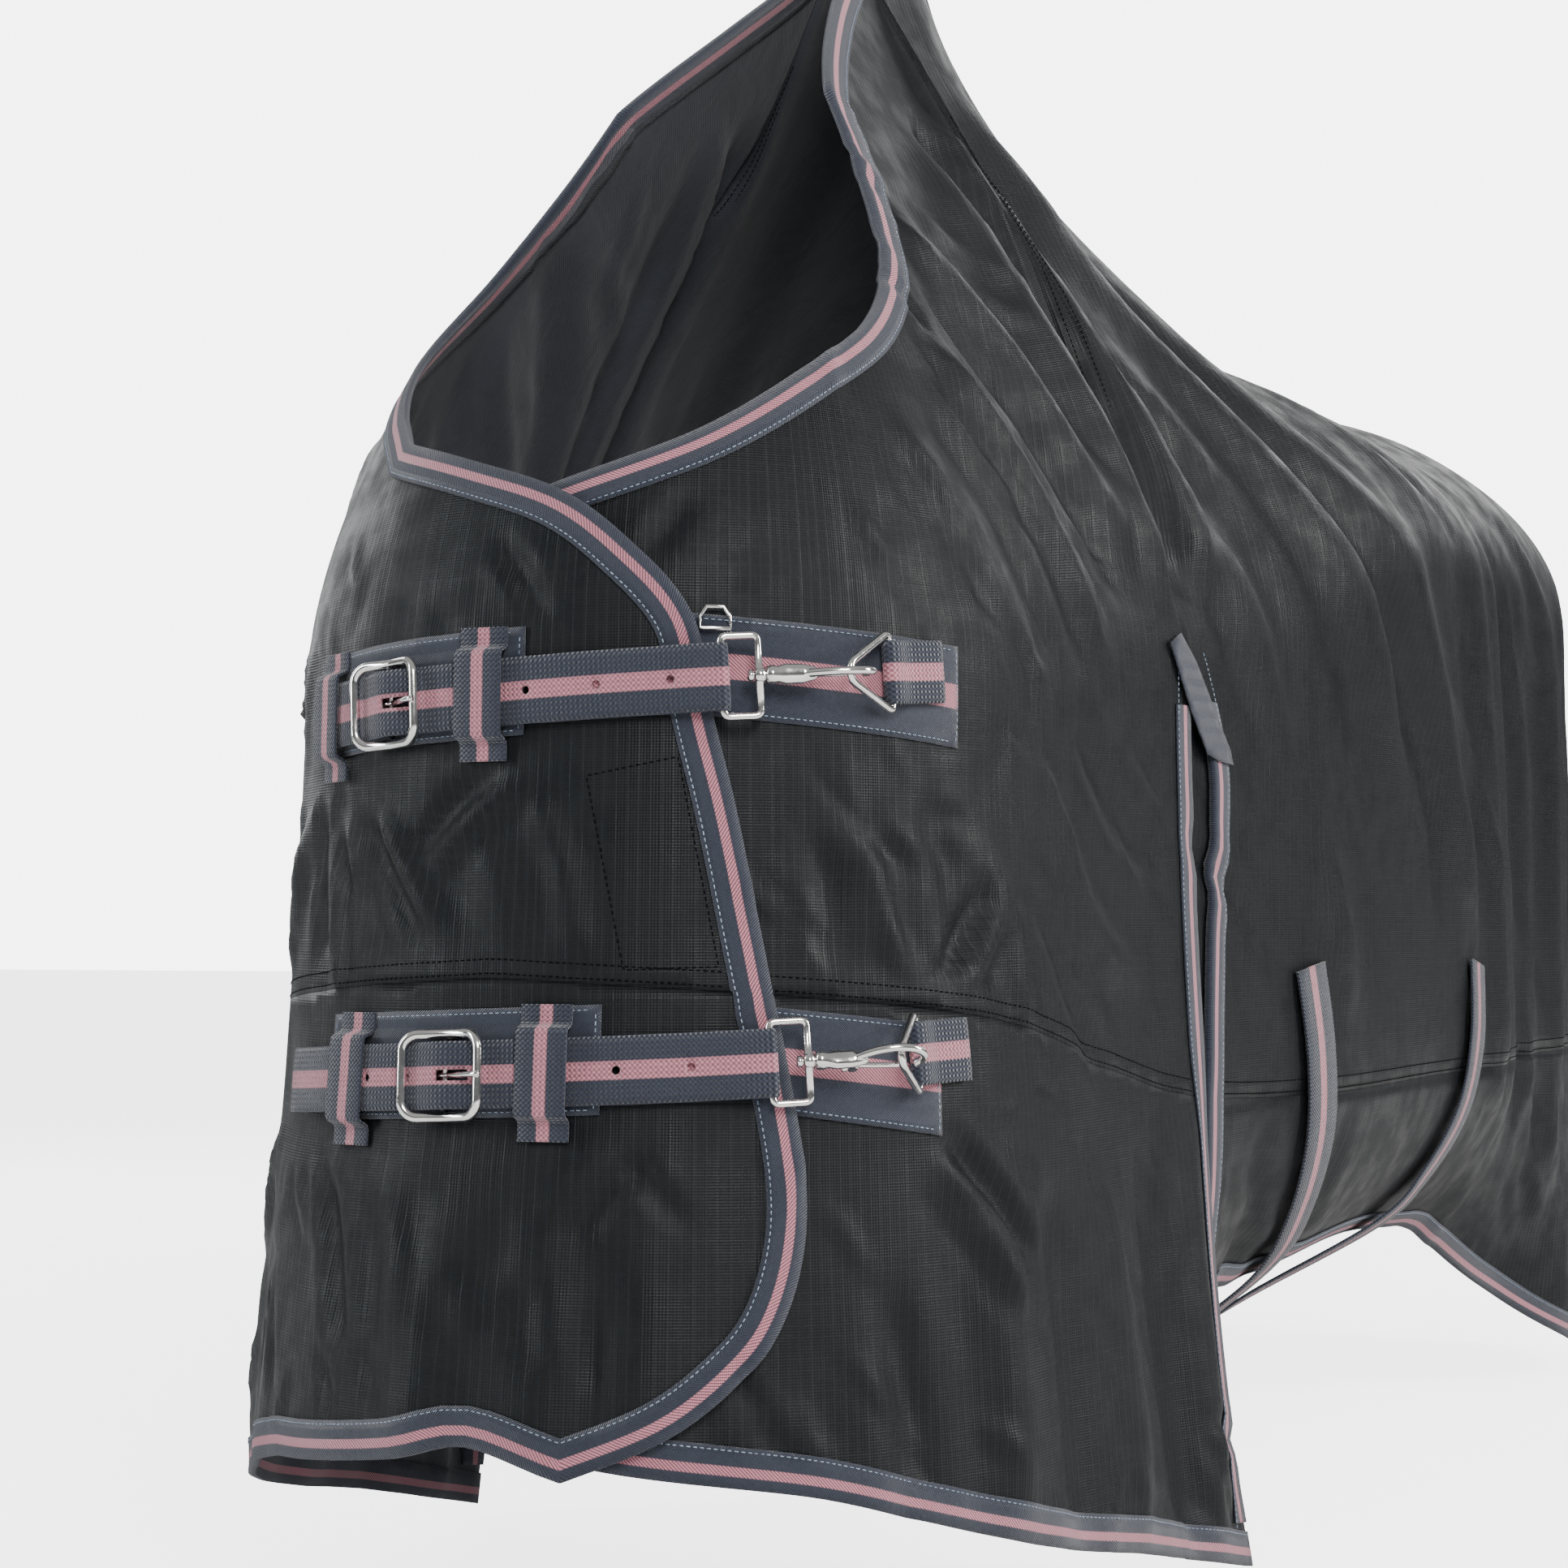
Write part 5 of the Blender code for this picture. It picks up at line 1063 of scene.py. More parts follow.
def make_bindings():
    def bind(name, key, base, start=0.0, end=0.0, mirror=False):
        line, inner = tape_lines(key, mirror)
        if mirror:
            start, end = end, start
        binding(name, line, inner, base, BINDING_TAPE, start, end)

    bind("neck_binding_near", "neck", flat_base)
    bind("front_binding_near", "under", flat_base, 0.004, 0.004)
    bind("hem_binding_front_near", "hem", flat_base)
    bind("front_binding_off", "off", flap_base)
    bind("gusset_binding_front_near", "slit", flat_base, 0.004, 0.040)
    bind("gusset_binding_front_off", "slit", flap_base, 0.004, 0.040, True)
    bind("gusset_binding_rear_near", "body_front", flat_base, 0.040, 0.004)
    bind("gusset_binding_rear_off", "body_front", flat_base, 0.040, 0.004, True)
    bind("hem_binding_body_near", "body_hem", flat_base, 0.0, 0.014)
    bind("hem_binding_body_off", "body_hem", flat_base, 0.0, 0.014, True)
    cap = fill([(.621, -.308), (.640, -.300), (.662, -.318), (.692, -.350), (.717, -.379), (.721, -.389),
                (.700, -.387), (.680, -.383), (.655, -.356), (.636, -.332)], 0.006)
    plate("gusset_cap_near", cap, on_cloth(flat_base), 0.0030, 0.0040, BINDING_TAPE)
    plate("gusset_cap_off", mirrored(cap), on_cloth(flat_base), 0.0030, 0.0040, BINDING_TAPE)


def make_spine():
    """Back seam strip from the top of the neck to the tail."""
    rings = []
    for s in SPINE_S[2:-1]:
        v = top_of(s)
        y = CHEST_AXIS_Y + s - QUARTER
        z = float(skin(s, v)[2])
        flip = np.array([-1, 1, 1])
        near = [at(s, v - 0.010, 0.0024), at(s, v, 0.0018), np.array([0, y, z + 0.0046])]
        low = [np.array([0, y, z + 0.0034]), at(s, v, 0.0006), at(s, v - 0.010, 0.0012)]
        rings.append(near + [near[1] * flip, near[0] * flip, low[2] * flip, low[1] * flip] + low)
    weave = [(0.01 * i, 0.004 * k, 0) for i in range(len(rings)) for k in range(len(rings[0]))]
    sweep("spine_seam", rings, SHELL_CLOTH, False, weave)


def roof(s, x):
    """Height of the cloth at station s and distance x from the middle, on top of the rump."""
    vs, ws, zs = section(round(s, 6))
    top = vs >= along(SPRING, s)
    return float(np.interp(abs(x), ws[top][::-1], zs[top][::-1]))


def make_tail_flap():
    edge_y = CHEST_AXIS_Y + REAR - QUARTER + 0.0016 + 0.0004

    def place(x, w, lift):
        lift += 0.0046
        s = REAR - 0.030 + w
        if w < 0.030:
            return np.array([x, CHEST_AXIS_Y + s - QUARTER, roof(s, x) + lift])
        w -= 0.030
        r = 0.016
        if w < r * math.pi / 2:
            a = w / r
            return np.array([x, edge_y + (r + lift) * math.sin(a),
                             roof(REAR, x) - r + (r + lift) * math.cos(a)])
        w -= r * math.pi / 2
        return np.array([x, edge_y + r + lift + 0.05 * w, roof(REAR, x) - r - w])

    side = dense([.03, .042, .055, .12, .19, .26])
    outline = [(x, 0) for x in dense([-.150, .150])] + [(.150, w) for w in side] \
        + round_line([(.150, .26), (.135, .31), (.10, .33), (.05, .335), (0, .335), (-.05, .335), (-.10, .33),
                      (-.135, .31), (-.150, .26)], 0.01)[1:-1] + [(-.150, w) for w in side[::-1]]
    flat, tris = fill(outline, 0.006)
    note_sheet("tail_flap", (flat, tris))
    obj = plate("tail_flap", (flat, tris), place, 0.0, 0.0016, SHELL_CLOTH)
    outward(obj)


def make_velcro():
    pattern = fill([(.052, -.418), (.070, -.414), (.087, -.411), (.102, -.407), (.108, -.438), (.113, -.468),
                    (.119, -.50), (.124, -.53), (.107, -.5305), (.090, -.531), (.074, -.531), (.068, -.503),
                    (.063, -.475), (.057, -.446)], 0.006)
    plate("velcro_hook_patch", pattern, on_cloth(flap_base), -0.0052, -0.0042, VELCRO)
    plate("velcro_loop_patch", pattern, on_cloth(flat_base), 0.0006, 0.0015, VELCRO)


# ======================= chest straps =======================
STRAP_WIDTH = 0.040
TAB_WIDTH = 0.038
BAR = 0.0022
EYE_WIRE = 0.0023
RING_WIRE = 0.0025
RING_LENGTH = 0.040
HOOK_REACH = 0.077
TAB_LOW = 0.0039
TAB_PLAY = 0.0006
TAB_THICK = 0.0016
GATE_AXLE = (.0480, -.0045)
# the hook's shank: place along it, radius, and how flat it is
SHANK = [(.0150, .0022, 1), (.0158, .0034, 1), (.0182, .0034, 1), (.0190, .0018, 1), (.0262, .0018, 1),
         (.0264, .0052, 1), (.0300, .0058, 1), (.0330, .0050, .9), (.0380, .0062, .62), (.0480, .0058, .60),
         (.0550, .0040, .70), (.0575, .0020, 1)]
KEEPER_ARCH = round_line([(-0.040, 0.0019), (-0.030, 0.0019), (-0.0265, 0.0045), (-0.0245, 0.0088),
                          (-0.020, 0.0098), (0, 0.0098), (0.020, 0.0098), (0.0245, 0.0088),
                          (0.0265, 0.0045), (0.030, 0.0019), (0.040, 0.0019)], 0.0015)


def circle(u, w, radius, n=20):
    return [(u + radius * math.cos(2 * math.pi * k / n), w + radius * math.sin(2 * math.pi * k / n))
            for k in range(n)]


def box_hole(u0, u1, half, steps=6):
    row = [u0 + (u1 - u0) * k / steps for k in range(steps + 1)]
    return [(u, -half) for u in row] + [(u, half) for u in row[::-1]]


KEEPER_SECTION = [(-.016, .25), (-.0157, 0), (-.008, 0), (0, 0), (.008, 0), (.0157, 0), (.016, .25),
                  (.016, .75), (.0157, 1), (.008, 1), (0, 1), (-.008, 1), (-.0157, 1), (-.016, .75)]


def laid(stations, level, height, sign=1):
    """Points and directions of webbing laid over the cloth; level(s) gives cloth height and base."""
    pts, nrm = [], []
    for s in stations:
        v, base = level(s)
        pts.append(at(s, v, base + height(s)))
        nrm.append(sign * normal_at(s, v))
    return pts, nrm


def turn_round(centre, out, ahead, radius):
    """Points and directions of a half turn about a centre, which starts on the side that out points to."""
    dirs = [out * math.cos(a) + ahead * math.sin(a) for a in np.linspace(0, math.pi, 13)[1:-1]]
    return [centre + d * radius for d in dirs], dirs


FLAT_STEPS = 24


def folded(level, start, fold, end, radius, lower, upper):
    """Webbing that lies flat, turns back round a bar at station fold, and returns on top.

    It runs from station start at the lower height to the fold and back to station end at the
    upper height. radius is the inside radius of the turn.
    """
    under = laid(np.linspace(start, fold, FLAT_STEPS), level, lower, -1)
    ahead = fold + 0.002 * (1 if fold > start else -1)
    v, base = level(fold)
    t = unit(at(ahead, level(ahead)[0]) - at(fold, v))
    centre = at(fold, v, base + lower(fold) + radius)
    turn = turn_round(centre, -normal_at(fold, v), t, radius)
    over = laid(np.linspace(fold, end, FLAT_STEPS), level, upper)
    return Path(under[0] + turn[0] + over[0], under[1] + turn[1] + over[1])


def tab_stations(tab, turn_end):
    """Distances along a folded tab, close together round its turn."""
    turn_start = tab.u[FLAT_STEPS - 1]
    return sorted(set(samples(0, turn_start - 0.003, 0.004) + samples(turn_start, turn_end, 0.0008)
                      + samples(turn_end + 0.003, tab.length(), 0.004)))


def assemble(place, first, *others):
    """Moves pieces to their place, then joins each to the first or cuts it out of it, in turn."""
    for piece in (first, *(piece for _, piece in others)):
        piece.data.transform(place)
    for operation, piece in others:
        combine(first, piece, operation)


RUN_STEPS = 90


def make_strap(tag, level, tip, buckle, eye, back, slot_holes):
    """The strap: its free end, the run to the hook eye, the turn round the eye and the short way back.

    Returns the buckle's place on it and, at the eye, its direction, the way out and the turn's centre.
    """
    def strap_height(s):
        right = ease((s - buckle - 0.03) / 0.03)
        bump = 0.0060 * math.exp(-((s - buckle) / 0.014) ** 2)
        return 0.0064 - 0.0015 * right + bump + 0.0056 * ease((s - eye + 0.045) / 0.045)

    def back_height(s):
        low = strap_height(eye) - 2 * (EYE_WIRE + GAP)
        return low + (0.0040 - low) * ease((eye - s - 0.004) / 0.014)

    run_s = np.linspace(tip, eye, RUN_STEPS)
    pts, nrm = laid(run_s, level, strap_height)
    run = Path(pts, nrm).length()
    t = unit(pts[-1] - pts[-2])
    n = unit(nrm[-1] - t * (nrm[-1] @ t))
    r0 = EYE_WIRE + GAP
    centre = pts[-1] - n * r0
    turn = turn_round(centre, n, t, r0)
    rest = laid(np.linspace(eye, back, FLAT_STEPS), level, back_height, -1)
    path = Path(pts + turn[0] + rest[0], nrm + turn[1] + rest[1])
    run_u = path.u[:RUN_STEPS]
    spot = lambda s: run * float(np.interp(s, run_s, run_u / run_u[-1]))
    ub = spot(buckle)
    holes = [circle(spot(s), 0, 0.0025) for s in slot_holes]
    holes.append(box_hole(ub - 0.002, ub + 0.018, 0.0032))
    turn_end = run_u[-1] + math.pi * r0
    stations = sorted(set([0, 0.012] + samples(0.012, run - 0.004, 0.003)[1:] + samples(run, turn_end, 0.0008)
                          + samples(turn_end + 0.004, path.length(), 0.004)))
    path.web(tag + "_strap", stations, STRAP_WIDTH, WEB, WEBBING, holes)
    return path.matrix(ub), t, n, centre


def make_buckle(tag, place):
    """Buckle frame with its centre bar under the strap, and the tongue, whose point rests on the side bar."""
    rise = 0.0058
    points = []
    for cx, cy, start, middle in ((1, 1, 0, (0, 0.0245, 0)), (-1, 1, 90, (-0.027, 0, rise)),
                                  (-1, -1, 180, (0, -0.0245, 0)), (1, -1, 270, (0.027, 0, rise))):
        for k in range(9):
            a = math.radians(start + 11.25 * k)
            x, y = cx * 0.017 + 0.010 * math.cos(a), cy * 0.0145 + 0.010 * math.sin(a)
            points.append((x, y, rise * (abs(x) / 0.027) ** 1.6))
        points.append(middle)
    rim = wire(tag + "_buckle_frame", points, 0.0030, CHROME)
    bar = cylinder(tag + "_bar_helper", (0, -0.0243, 0), (0, 0.0243, 0), BAR, CHROME, 28)
    assemble(place, rim, ("UNION", bar))
    around_bar = [(0.0036 * math.cos(a), 0, 0.0036 * math.sin(a))
                  for a in np.linspace(0, 2 * math.pi, 25)[:-1]]
    loop = wire(tag + "_buckle_tongue", around_bar, 0.0011, CHROME)
    rod = wire(tag + "_rod_helper", curve([(0.0030, 0, 0.0018), (0.012, 0, 0.0050), (0.022, 0, 0.0093),
                                           (0.0290, 0, 0.0112), (0.0315, 0, 0.0104)]), 0.0017, CHROME, False)
    assemble(place, loop, ("UNION", rod))


def make_buckle_tab(tag, level, buckle):
    """Tab that holds the buckle's centre bar to the patch."""
    radius = BAR + TAB_PLAY
    end = buckle - 0.036
    upper = lambda s: 0.0043 + 0.0052 * (1 - ease((buckle - s - 0.001) / 0.015))
    tab = folded(level, end, buckle, end, radius, lambda s: TAB_LOW, upper)
    mid = tab.u[FLAT_STEPS - 1] + math.pi * radius / 2
    stations = tab_stations(tab, 2 * mid - tab.u[FLAT_STEPS - 1])
    tab.web(tag + "_buckle_tab", stations, TAB_WIDTH, TAB_THICK, WEBBING,
            [box_hole(mid - 0.010, mid + 0.010, 0.0052)])


def make_keeper(name, s, v, base):
    """Webbing keeper that arches over the strap at station s."""
    m = frame_on(s, v, base + 0.0010)
    rings = []
    for i, (y, z) in enumerate(KEEPER_ARCH):
        a, b = KEEPER_ARCH[max(i - 1, 0)], KEEPER_ARCH[min(i + 1, len(KEEPER_ARCH) - 1)]
        d = unit(np.array([b[0] - a[0], b[1] - a[1]]))
        out = np.array([-d[1], d[0]]) * 0.0016
        rings.append([world(m, x, y + out[0] * h, z + out[1] * h) for x, h in KEEPER_SECTION])
    run = run_along([ring[0] for ring in rings])
    sweep(name, rings, KEEPER_WEB, False, [(u, x, 0) for u in run for x, _ in KEEPER_SECTION])


def make_eye(tag, place):
    """Swivel eye on the strap's end, with the boss that the hook turns in."""
    ring = wire(tag + "_snap_eye", [(0, -0.0238, 0), (0.022, -0.0238, 0), (0.022, 0.0238, 0), (0, 0.0238, 0)],
                EYE_WIRE, CHROME, True, 0.004)
    boss = cylinder(tag + "_boss_helper", (0.0195, 0, 0), (0.0255, 0, 0), 0.0046, CHROME, 28)
    bore = cylinder(tag + "_bore_helper", (0.0150, 0, 0), (0.0300, 0, 0), 0.0021, CHROME, 28)
    assemble(place, ring, ("UNION", boss), ("DIFFERENCE", bore))


def on_axle(name, half, radius, around=28):
    """Cylinder across the snap on its gate's axle."""
    x, z = GATE_AXLE
    return cylinder(name, (x, -half, z), (x, half, z), radius, CHROME, around)


def make_hook(tag, place):
    """Hook body: a turned shank, the crook, and the ears and pin that hold the gate."""
    turns = [2 * math.pi * (j + .5) / 28 for j in range(28)]
    rings = [[(x, r * math.cos(a), r * k * math.sin(a)) for a in turns] for x, r, k in SHANK]
    head = sweep(tag + "_snap_body", rings, CHROME)
    crook = wire(tag + "_crook_helper", curve([(.050, 0, .0006), (.057, 0, .0052), (.066, 0, .0085),
                                               (.075, 0, .0094), (.084, 0, .0072), (.0895, 0, .0020),
                                               (.0900, 0, -.0040), (.0865, 0, -.0088)]),
                 0.00247, CHROME, False)
    ears = on_axle(tag + "_ears_helper", .0046, 0.0030)
    notch = on_axle(tag + "_notch_helper", .0026, 0.0041)
    pin = on_axle(tag + "_pin_helper", .0036, 0.0012, 24)
    assemble(place, head, ("UNION", crook), ("UNION", ears), ("DIFFERENCE", notch), ("UNION", pin))


def make_gate(tag, place):
    """Gate: the sprung lever that closes the hook."""
    hub = on_axle(tag + "_snap_gate", .0022, 0.0034, 32)
    arm = wire(tag + "_arm_helper", curve([(.0490, 0, -.0062), (.056, 0, -.0078), (.068, 0, -.0090),
                                           (.0800, 0, -.0096)]), 0.0017, CHROME, False)
    thumb = wire(tag + "_thumb_helper", curve([(.0500, 0, -.0068), (.0475, 0, -.0095), (.0430, 0, -.0112)]),
                 0.0017, CHROME, False)
    hub_hole = on_axle(tag + "_hub_helper", .004, 0.0015, 24)
    assemble(place, hub, ("UNION", arm), ("UNION", thumb), ("DIFFERENCE", hub_hole))


def make_ring(tag, line, first, hook_point, across):
    """Triangle ring, with its point in the hook and its base in the tab that holds it.

    The base is looked for between station first and 0.10 beyond it.
    """
    reach = RING_LENGTH - 0.0005
    lo, hi = first, first + 0.10
    for _ in range(40):
        s0 = (lo + hi) / 2
        base_point = Vector(at(s0, line(s0), 0.0070))
        lo, hi = (s0, hi) if (base_point - hook_point).length < reach else (lo, s0)
    x_axis = (base_point - hook_point).normalized()
    y_axis = (across - x_axis * across.dot(x_axis)).normalized()
    ring = wire(tag + "_triangle_ring", [(0, -0.0240, 0), (0, 0.0240, 0), (-RING_LENGTH, 0.0050, 0),
                                         (-RING_LENGTH, -0.0050, 0)], RING_WIRE * 0.95, CHROME, True, 0.006)
    ring.data.transform(axes_at(x_axis, y_axis, x_axis.cross(y_axis), base_point))
    upper = lambda s: 0.0043 + 0.0058 * (1 - ease((s - s0 - 0.001) / 0.016))
    radius = RING_WIRE + TAB_PLAY
    tab = folded(lambda s: (line(s), 0.0), s0 + 0.042, s0, s0 + 0.042, radius, lambda s: TAB_LOW, upper)
    stations = tab_stations(tab, tab.u[FLAT_STEPS - 1] + math.pi * radius)
    tab.web(tag + "_ring_tab", stations, TAB_WIDTH, TAB_THICK, WEBBING)


def chest_strap(tag, line, tip, outer, buckle, inner, eye, back, tilt, roll, ring_guess, slot_holes):
    """One complete chest strap. line(s) is its height on the cloth; the rest are stations and two angles."""
    def level(s):
        return line(s), flap_base(s)

    at_buckle, ahead, out, centre = make_strap(tag, level, tip, buckle, eye, back, slot_holes)
    at_buckle.translation = Vector(at(buckle, line(buckle), flap_base(buckle) + 0.0067))
    make_buckle(tag, at_buckle)
    make_buckle_tab(tag, level, buckle)
    for name, s in (("_keeper_outer", outer), ("_keeper_inner", inner)):
        make_keeper(tag + name, s, *level(s))
    across = np.cross(out, ahead)
    at_eye = axes_at(ahead, across, out, centre) @ Matrix.Rotation(-tilt, 4, "Y")
    at_hook = at_eye @ Matrix.Rotation(roll, 4, "X")
    make_eye(tag, at_eye)
    make_hook(tag, at_hook)
    make_gate(tag, at_hook)
    make_ring(tag, line, ring_guess, Vector(world(at_eye, HOOK_REACH, 0, 0.0008)), Vector(across))


def make_patches():
    """Reinforcing patches that the straps are sewn to."""
    def patch(name, corners, base, mat=None, lift=0.0010):
        pattern = fill(corners, (0.005, 0.0065))
        obj = plate(name, pattern, on_cloth(base), lift, lift + 0.0008, mat or PATCH_TAPE)
        n = len(corners) // 2
        s0, s1 = corners[0][0], corners[n - 1][0]
        m0, m1 = (corners[0][1] + corners[-1][1]) / 2, (corners[n - 1][1] + corners[n][1]) / 2
        weave = [(s, v - m0 - (m1 - m0) * (s - s0) / (s1 - s0), 0) for s, v in pattern[0]] * 2
        obj.data.attributes["weave"].data.foreach_set("vector", np.array(weave, dtype=np.float32).ravel())
        gap = 0.003
        low, high = corners[:n], corners[n:][::-1]
        rows = [shifted(low[1:-1], 0, gap), shifted(high[1:-1], 0, -gap),
                dense_line([(s0 + gap, low[0][1] + gap), (s0 + gap, high[0][1] - gap)]),
                dense_line([(s1 - gap, low[-1][1] + gap), (s1 - gap, high[-1][1] - gap)])]
        stitches("stitch_" + name, [cloth_row(row, base, 0.0019) for row in rows], THREAD_LIGHT)

    def strip(s0, s1, mid0, mid1, half0, half1):
        ss = samples(s0, s1, 0.005)
        f = lambda s: (s - s0) / (s1 - s0)
        low = [(s, mid0 + (mid1 - mid0) * f(s) - half0 - (half1 - half0) * f(s)) for s in ss]
        high = [(s, mid0 + (mid1 - mid0) * f(s) + half0 + (half1 - half0) * f(s)) for s in ss]
        return low + high[::-1]

    patch("upper_buckle_patch", strip(-.170, .015, -.371, -.361, .032, .032), flap_base)
    patch("upper_ring_patch", strip(.095, .288, -.350, -.366, .030, .031), flat_base, RING_TAPE, 0.0005)
    patch("lower_buckle_patch", strip(-.120, .063, -.592, -.584, .032, .032), flap_base)
    patch("lower_ring_patch", strip(.125, .262, -.580, -.598, .030, .033), flat_base, RING_TAPE)


def make_d_ring():
    m = frame_on(.122, -.327, 0.0052)
    ring = wire("upper_d_ring", [(-.009, -.004, 0), (.009, -.004, 0), (.009, .003, 0), (.005, .009, 0),
                                 (-.005, .009, 0), (-.009, .003, 0)], 0.0013, CHROME, True, 0.0)
    ring.data.transform(m)


BELT_SECTION = [(-.025, .25), (-.0246, 0), (-.012, 0), (0, 0), (.012, 0), (.0246, 0), (.025, .25),
                (.025, .75), (.0246, 1), (.012, 1), (0, 1), (-.012, 1), (-.0246, 1), (-.025, .75)]


def make_surcingles():
    """Two webbing straps from the side of the rug, crossing under the belly to the other side."""
    for name, side, level in (("surcingle_front_near", 1, -.905), ("surcingle_front_off", -1, -.885)):
        front = [(.845, -.535), (.855, -.60), (.868, -.66), (.885, -.72), (.905, -.775)]
        rear = [(1.205, -.775), (1.225, -.72), (1.242, -.66), (1.255, -.60), (1.265, -.535)]
        lifts = (0.0030, 0.0034, 0.0045, 0.0060, 0.0085)
        pts = [at(side * s, v, h) for (s, v), h in zip(front, lifts)]
        nrm = [normal_at(side * s, v) for s, v in front]
        y0, y1 = pts[-1][1], CHEST_AXIS_Y + 1.205 - QUARTER
        for k in range(1, 8):
            t = k / 8
            x = side * (1 - 2 * t) * 0.215
            z = level + (pts[4][2] - 0.010 - level) * abs(1 - 2 * t) ** 2
            pts.append(np.array([x, y0 + (y1 - y0) * t, z]))
            nrm.append(np.array([x * 1.2, 0, -0.3]))
        pts += [at(-side * s, v, h) for (s, v), h in zip(rear, lifts[::-1])]
        nrm += [normal_at(-side * s, v) for s, v in rear]
        fine, dirs = [], []
        for i in range(len(pts) - 1):
            for k in range(8):
                t = k / 8
                before, after = pts[max(i - 1, 0)], pts[min(i + 2, len(pts) - 1)]
                fine.append(spline(before, pts[i], pts[i + 1], after, t))
                dirs.append(unit(unit(nrm[i]) * (1 - t) + unit(nrm[i + 1]) * t))
        fine.append(pts[-1])
        dirs.append(nrm[-1])
        path = Path(fine, dirs)
        rings = []
        stations = samples(0, path.length(), 0.006)
        for u in stations:
            rings.append([path.place(u, w, h * 0.0022) for w, h in BELT_SECTION])
        sweep(name, rings, WEBBING, False, [(u, w, 0) for u in stations for w, _ in BELT_SECTION])


# ======================= materials =======================
class Net:
    """Short hand for building a node material."""

    def __init__(self, name, roughness, metallic=0.0, specular=0.5, sheen=0.0, sheen_rough=0.5):
        self.mat = bpy.data.materials.new(name)
        self.mat.use_nodes = True
        self.tree = self.mat.node_tree
        self.bsdf = self.tree.nodes["Principled BSDF"]
        for key, value in (("Roughness", roughness), ("Metallic", metallic), ("Specular IOR Level", specular),
                           ("Sheen Weight", sheen), ("Sheen Roughness", sheen_rough)):
            self.bsdf.inputs[key].default_value = value

    def node(self, kind, **settings):
        made = self.tree.nodes.new(kind)
        for key, value in settings.items():
            setattr(made, key, value)
        return made

    def put(self, socket, value):
        if isinstance(value, bpy.types.NodeSocket):
            self.tree.links.new(value, socket)
        else:
            socket.default_value = value

    def math(self, kind, a, b=0.0, c=0.0):
        made = self.node("ShaderNodeMath", operation=kind)
        for socket, value in zip(made.inputs, (a, b, c)):
            self.put(socket, value)
        return made.outputs[0]

    def wave(self, coord, pitch):
        """Sine along a coordinate, one turn for each pitch."""
        return self.math("SINE", self.math("MULTIPLY", coord, 2 * math.pi / pitch))

    def weave(self):
        got = self.node("ShaderNodeAttribute", attribute_name="weave")
        split = self.node("ShaderNodeSeparateXYZ")
        self.put(split.inputs[0], got.outputs["Vector"])
        return got.outputs["Vector"], split.outputs[0], split.outputs[1]

    def place(self):
        return self.node("ShaderNodeTexCoord").outputs["Object"]

    def noise(self, vector, scale, detail=3.0, rough=0.5, distortion=0.0):
        made = self.node("ShaderNodeTexNoise")
        self.put(made.inputs["Vector"], vector)
        for key, value in (("Scale", scale), ("Detail", detail), ("Roughness", rough),
                           ("Distortion", distortion)):
            made.inputs[key].default_value = value
        return made.outputs["Fac"]

    def stretch(self, vector, x, y, z, turn=0.0):
        made = self.node("ShaderNodeMapping")
        self.put(made.inputs["Vector"], vector)
        made.inputs["Scale"].default_value = (x, y, z)
        made.inputs["Rotation"].default_value = (0, 0, turn)
        return made.outputs[0]

    def span(self, value, low, high, out_low=0.0, out_high=1.0):
        made = self.node("ShaderNodeMapRange", interpolation_type="SMOOTHSTEP")
        for socket, number in zip(made.inputs, (value, low, high, out_low, out_high)):
            self.put(socket, number)
        return made.outputs[0]

    def line(self, coord, pitch, width):
        """One at each line of a regular row, zero between."""
        turn = self.math("FRACT", self.math("DIVIDE", coord, pitch))
        away = self.math("ABSOLUTE", self.math("SUBTRACT", turn, 0.5))
        return self.span(away, 0.5 - width / pitch, 0.5 - 0.35 * width / pitch)

    def stripe(self, coord, centre, half, soft=0.0004):
        away = self.math("ABSOLUTE", self.math("SUBTRACT", coord, centre))
        return self.span(away, half - soft, half + soft, 1.0, 0.0)

    def mix(self, factor, a, b):
        made = self.node("ShaderNodeMix", data_type="RGBA")
        self.put(made.inputs["Factor"], factor)
        for socket, value in zip((made.inputs[6], made.inputs[7]), (a, b)):
            self.put(socket, (*value, 1.0) if isinstance(value, tuple) else value)
        return made.outputs[2]

    def colour(self, value):
        self.put(self.bsdf.inputs["Base Color"], value)

    def rough(self, value):
        self.put(self.bsdf.inputs["Roughness"], value)

    def bump(self, height, distance, strength=1.0):
        made = self.node("ShaderNodeBump")
        made.inputs["Strength"].default_value = strength
        made.inputs["Distance"].default_value = distance
        self.put(made.inputs["Height"], height)
        if self.bsdf.inputs["Normal"].links:
            self.put(made.inputs["Normal"], self.bsdf.inputs["Normal"].links[0].from_socket)
        self.put(self.bsdf.inputs["Normal"], made.outputs[0])


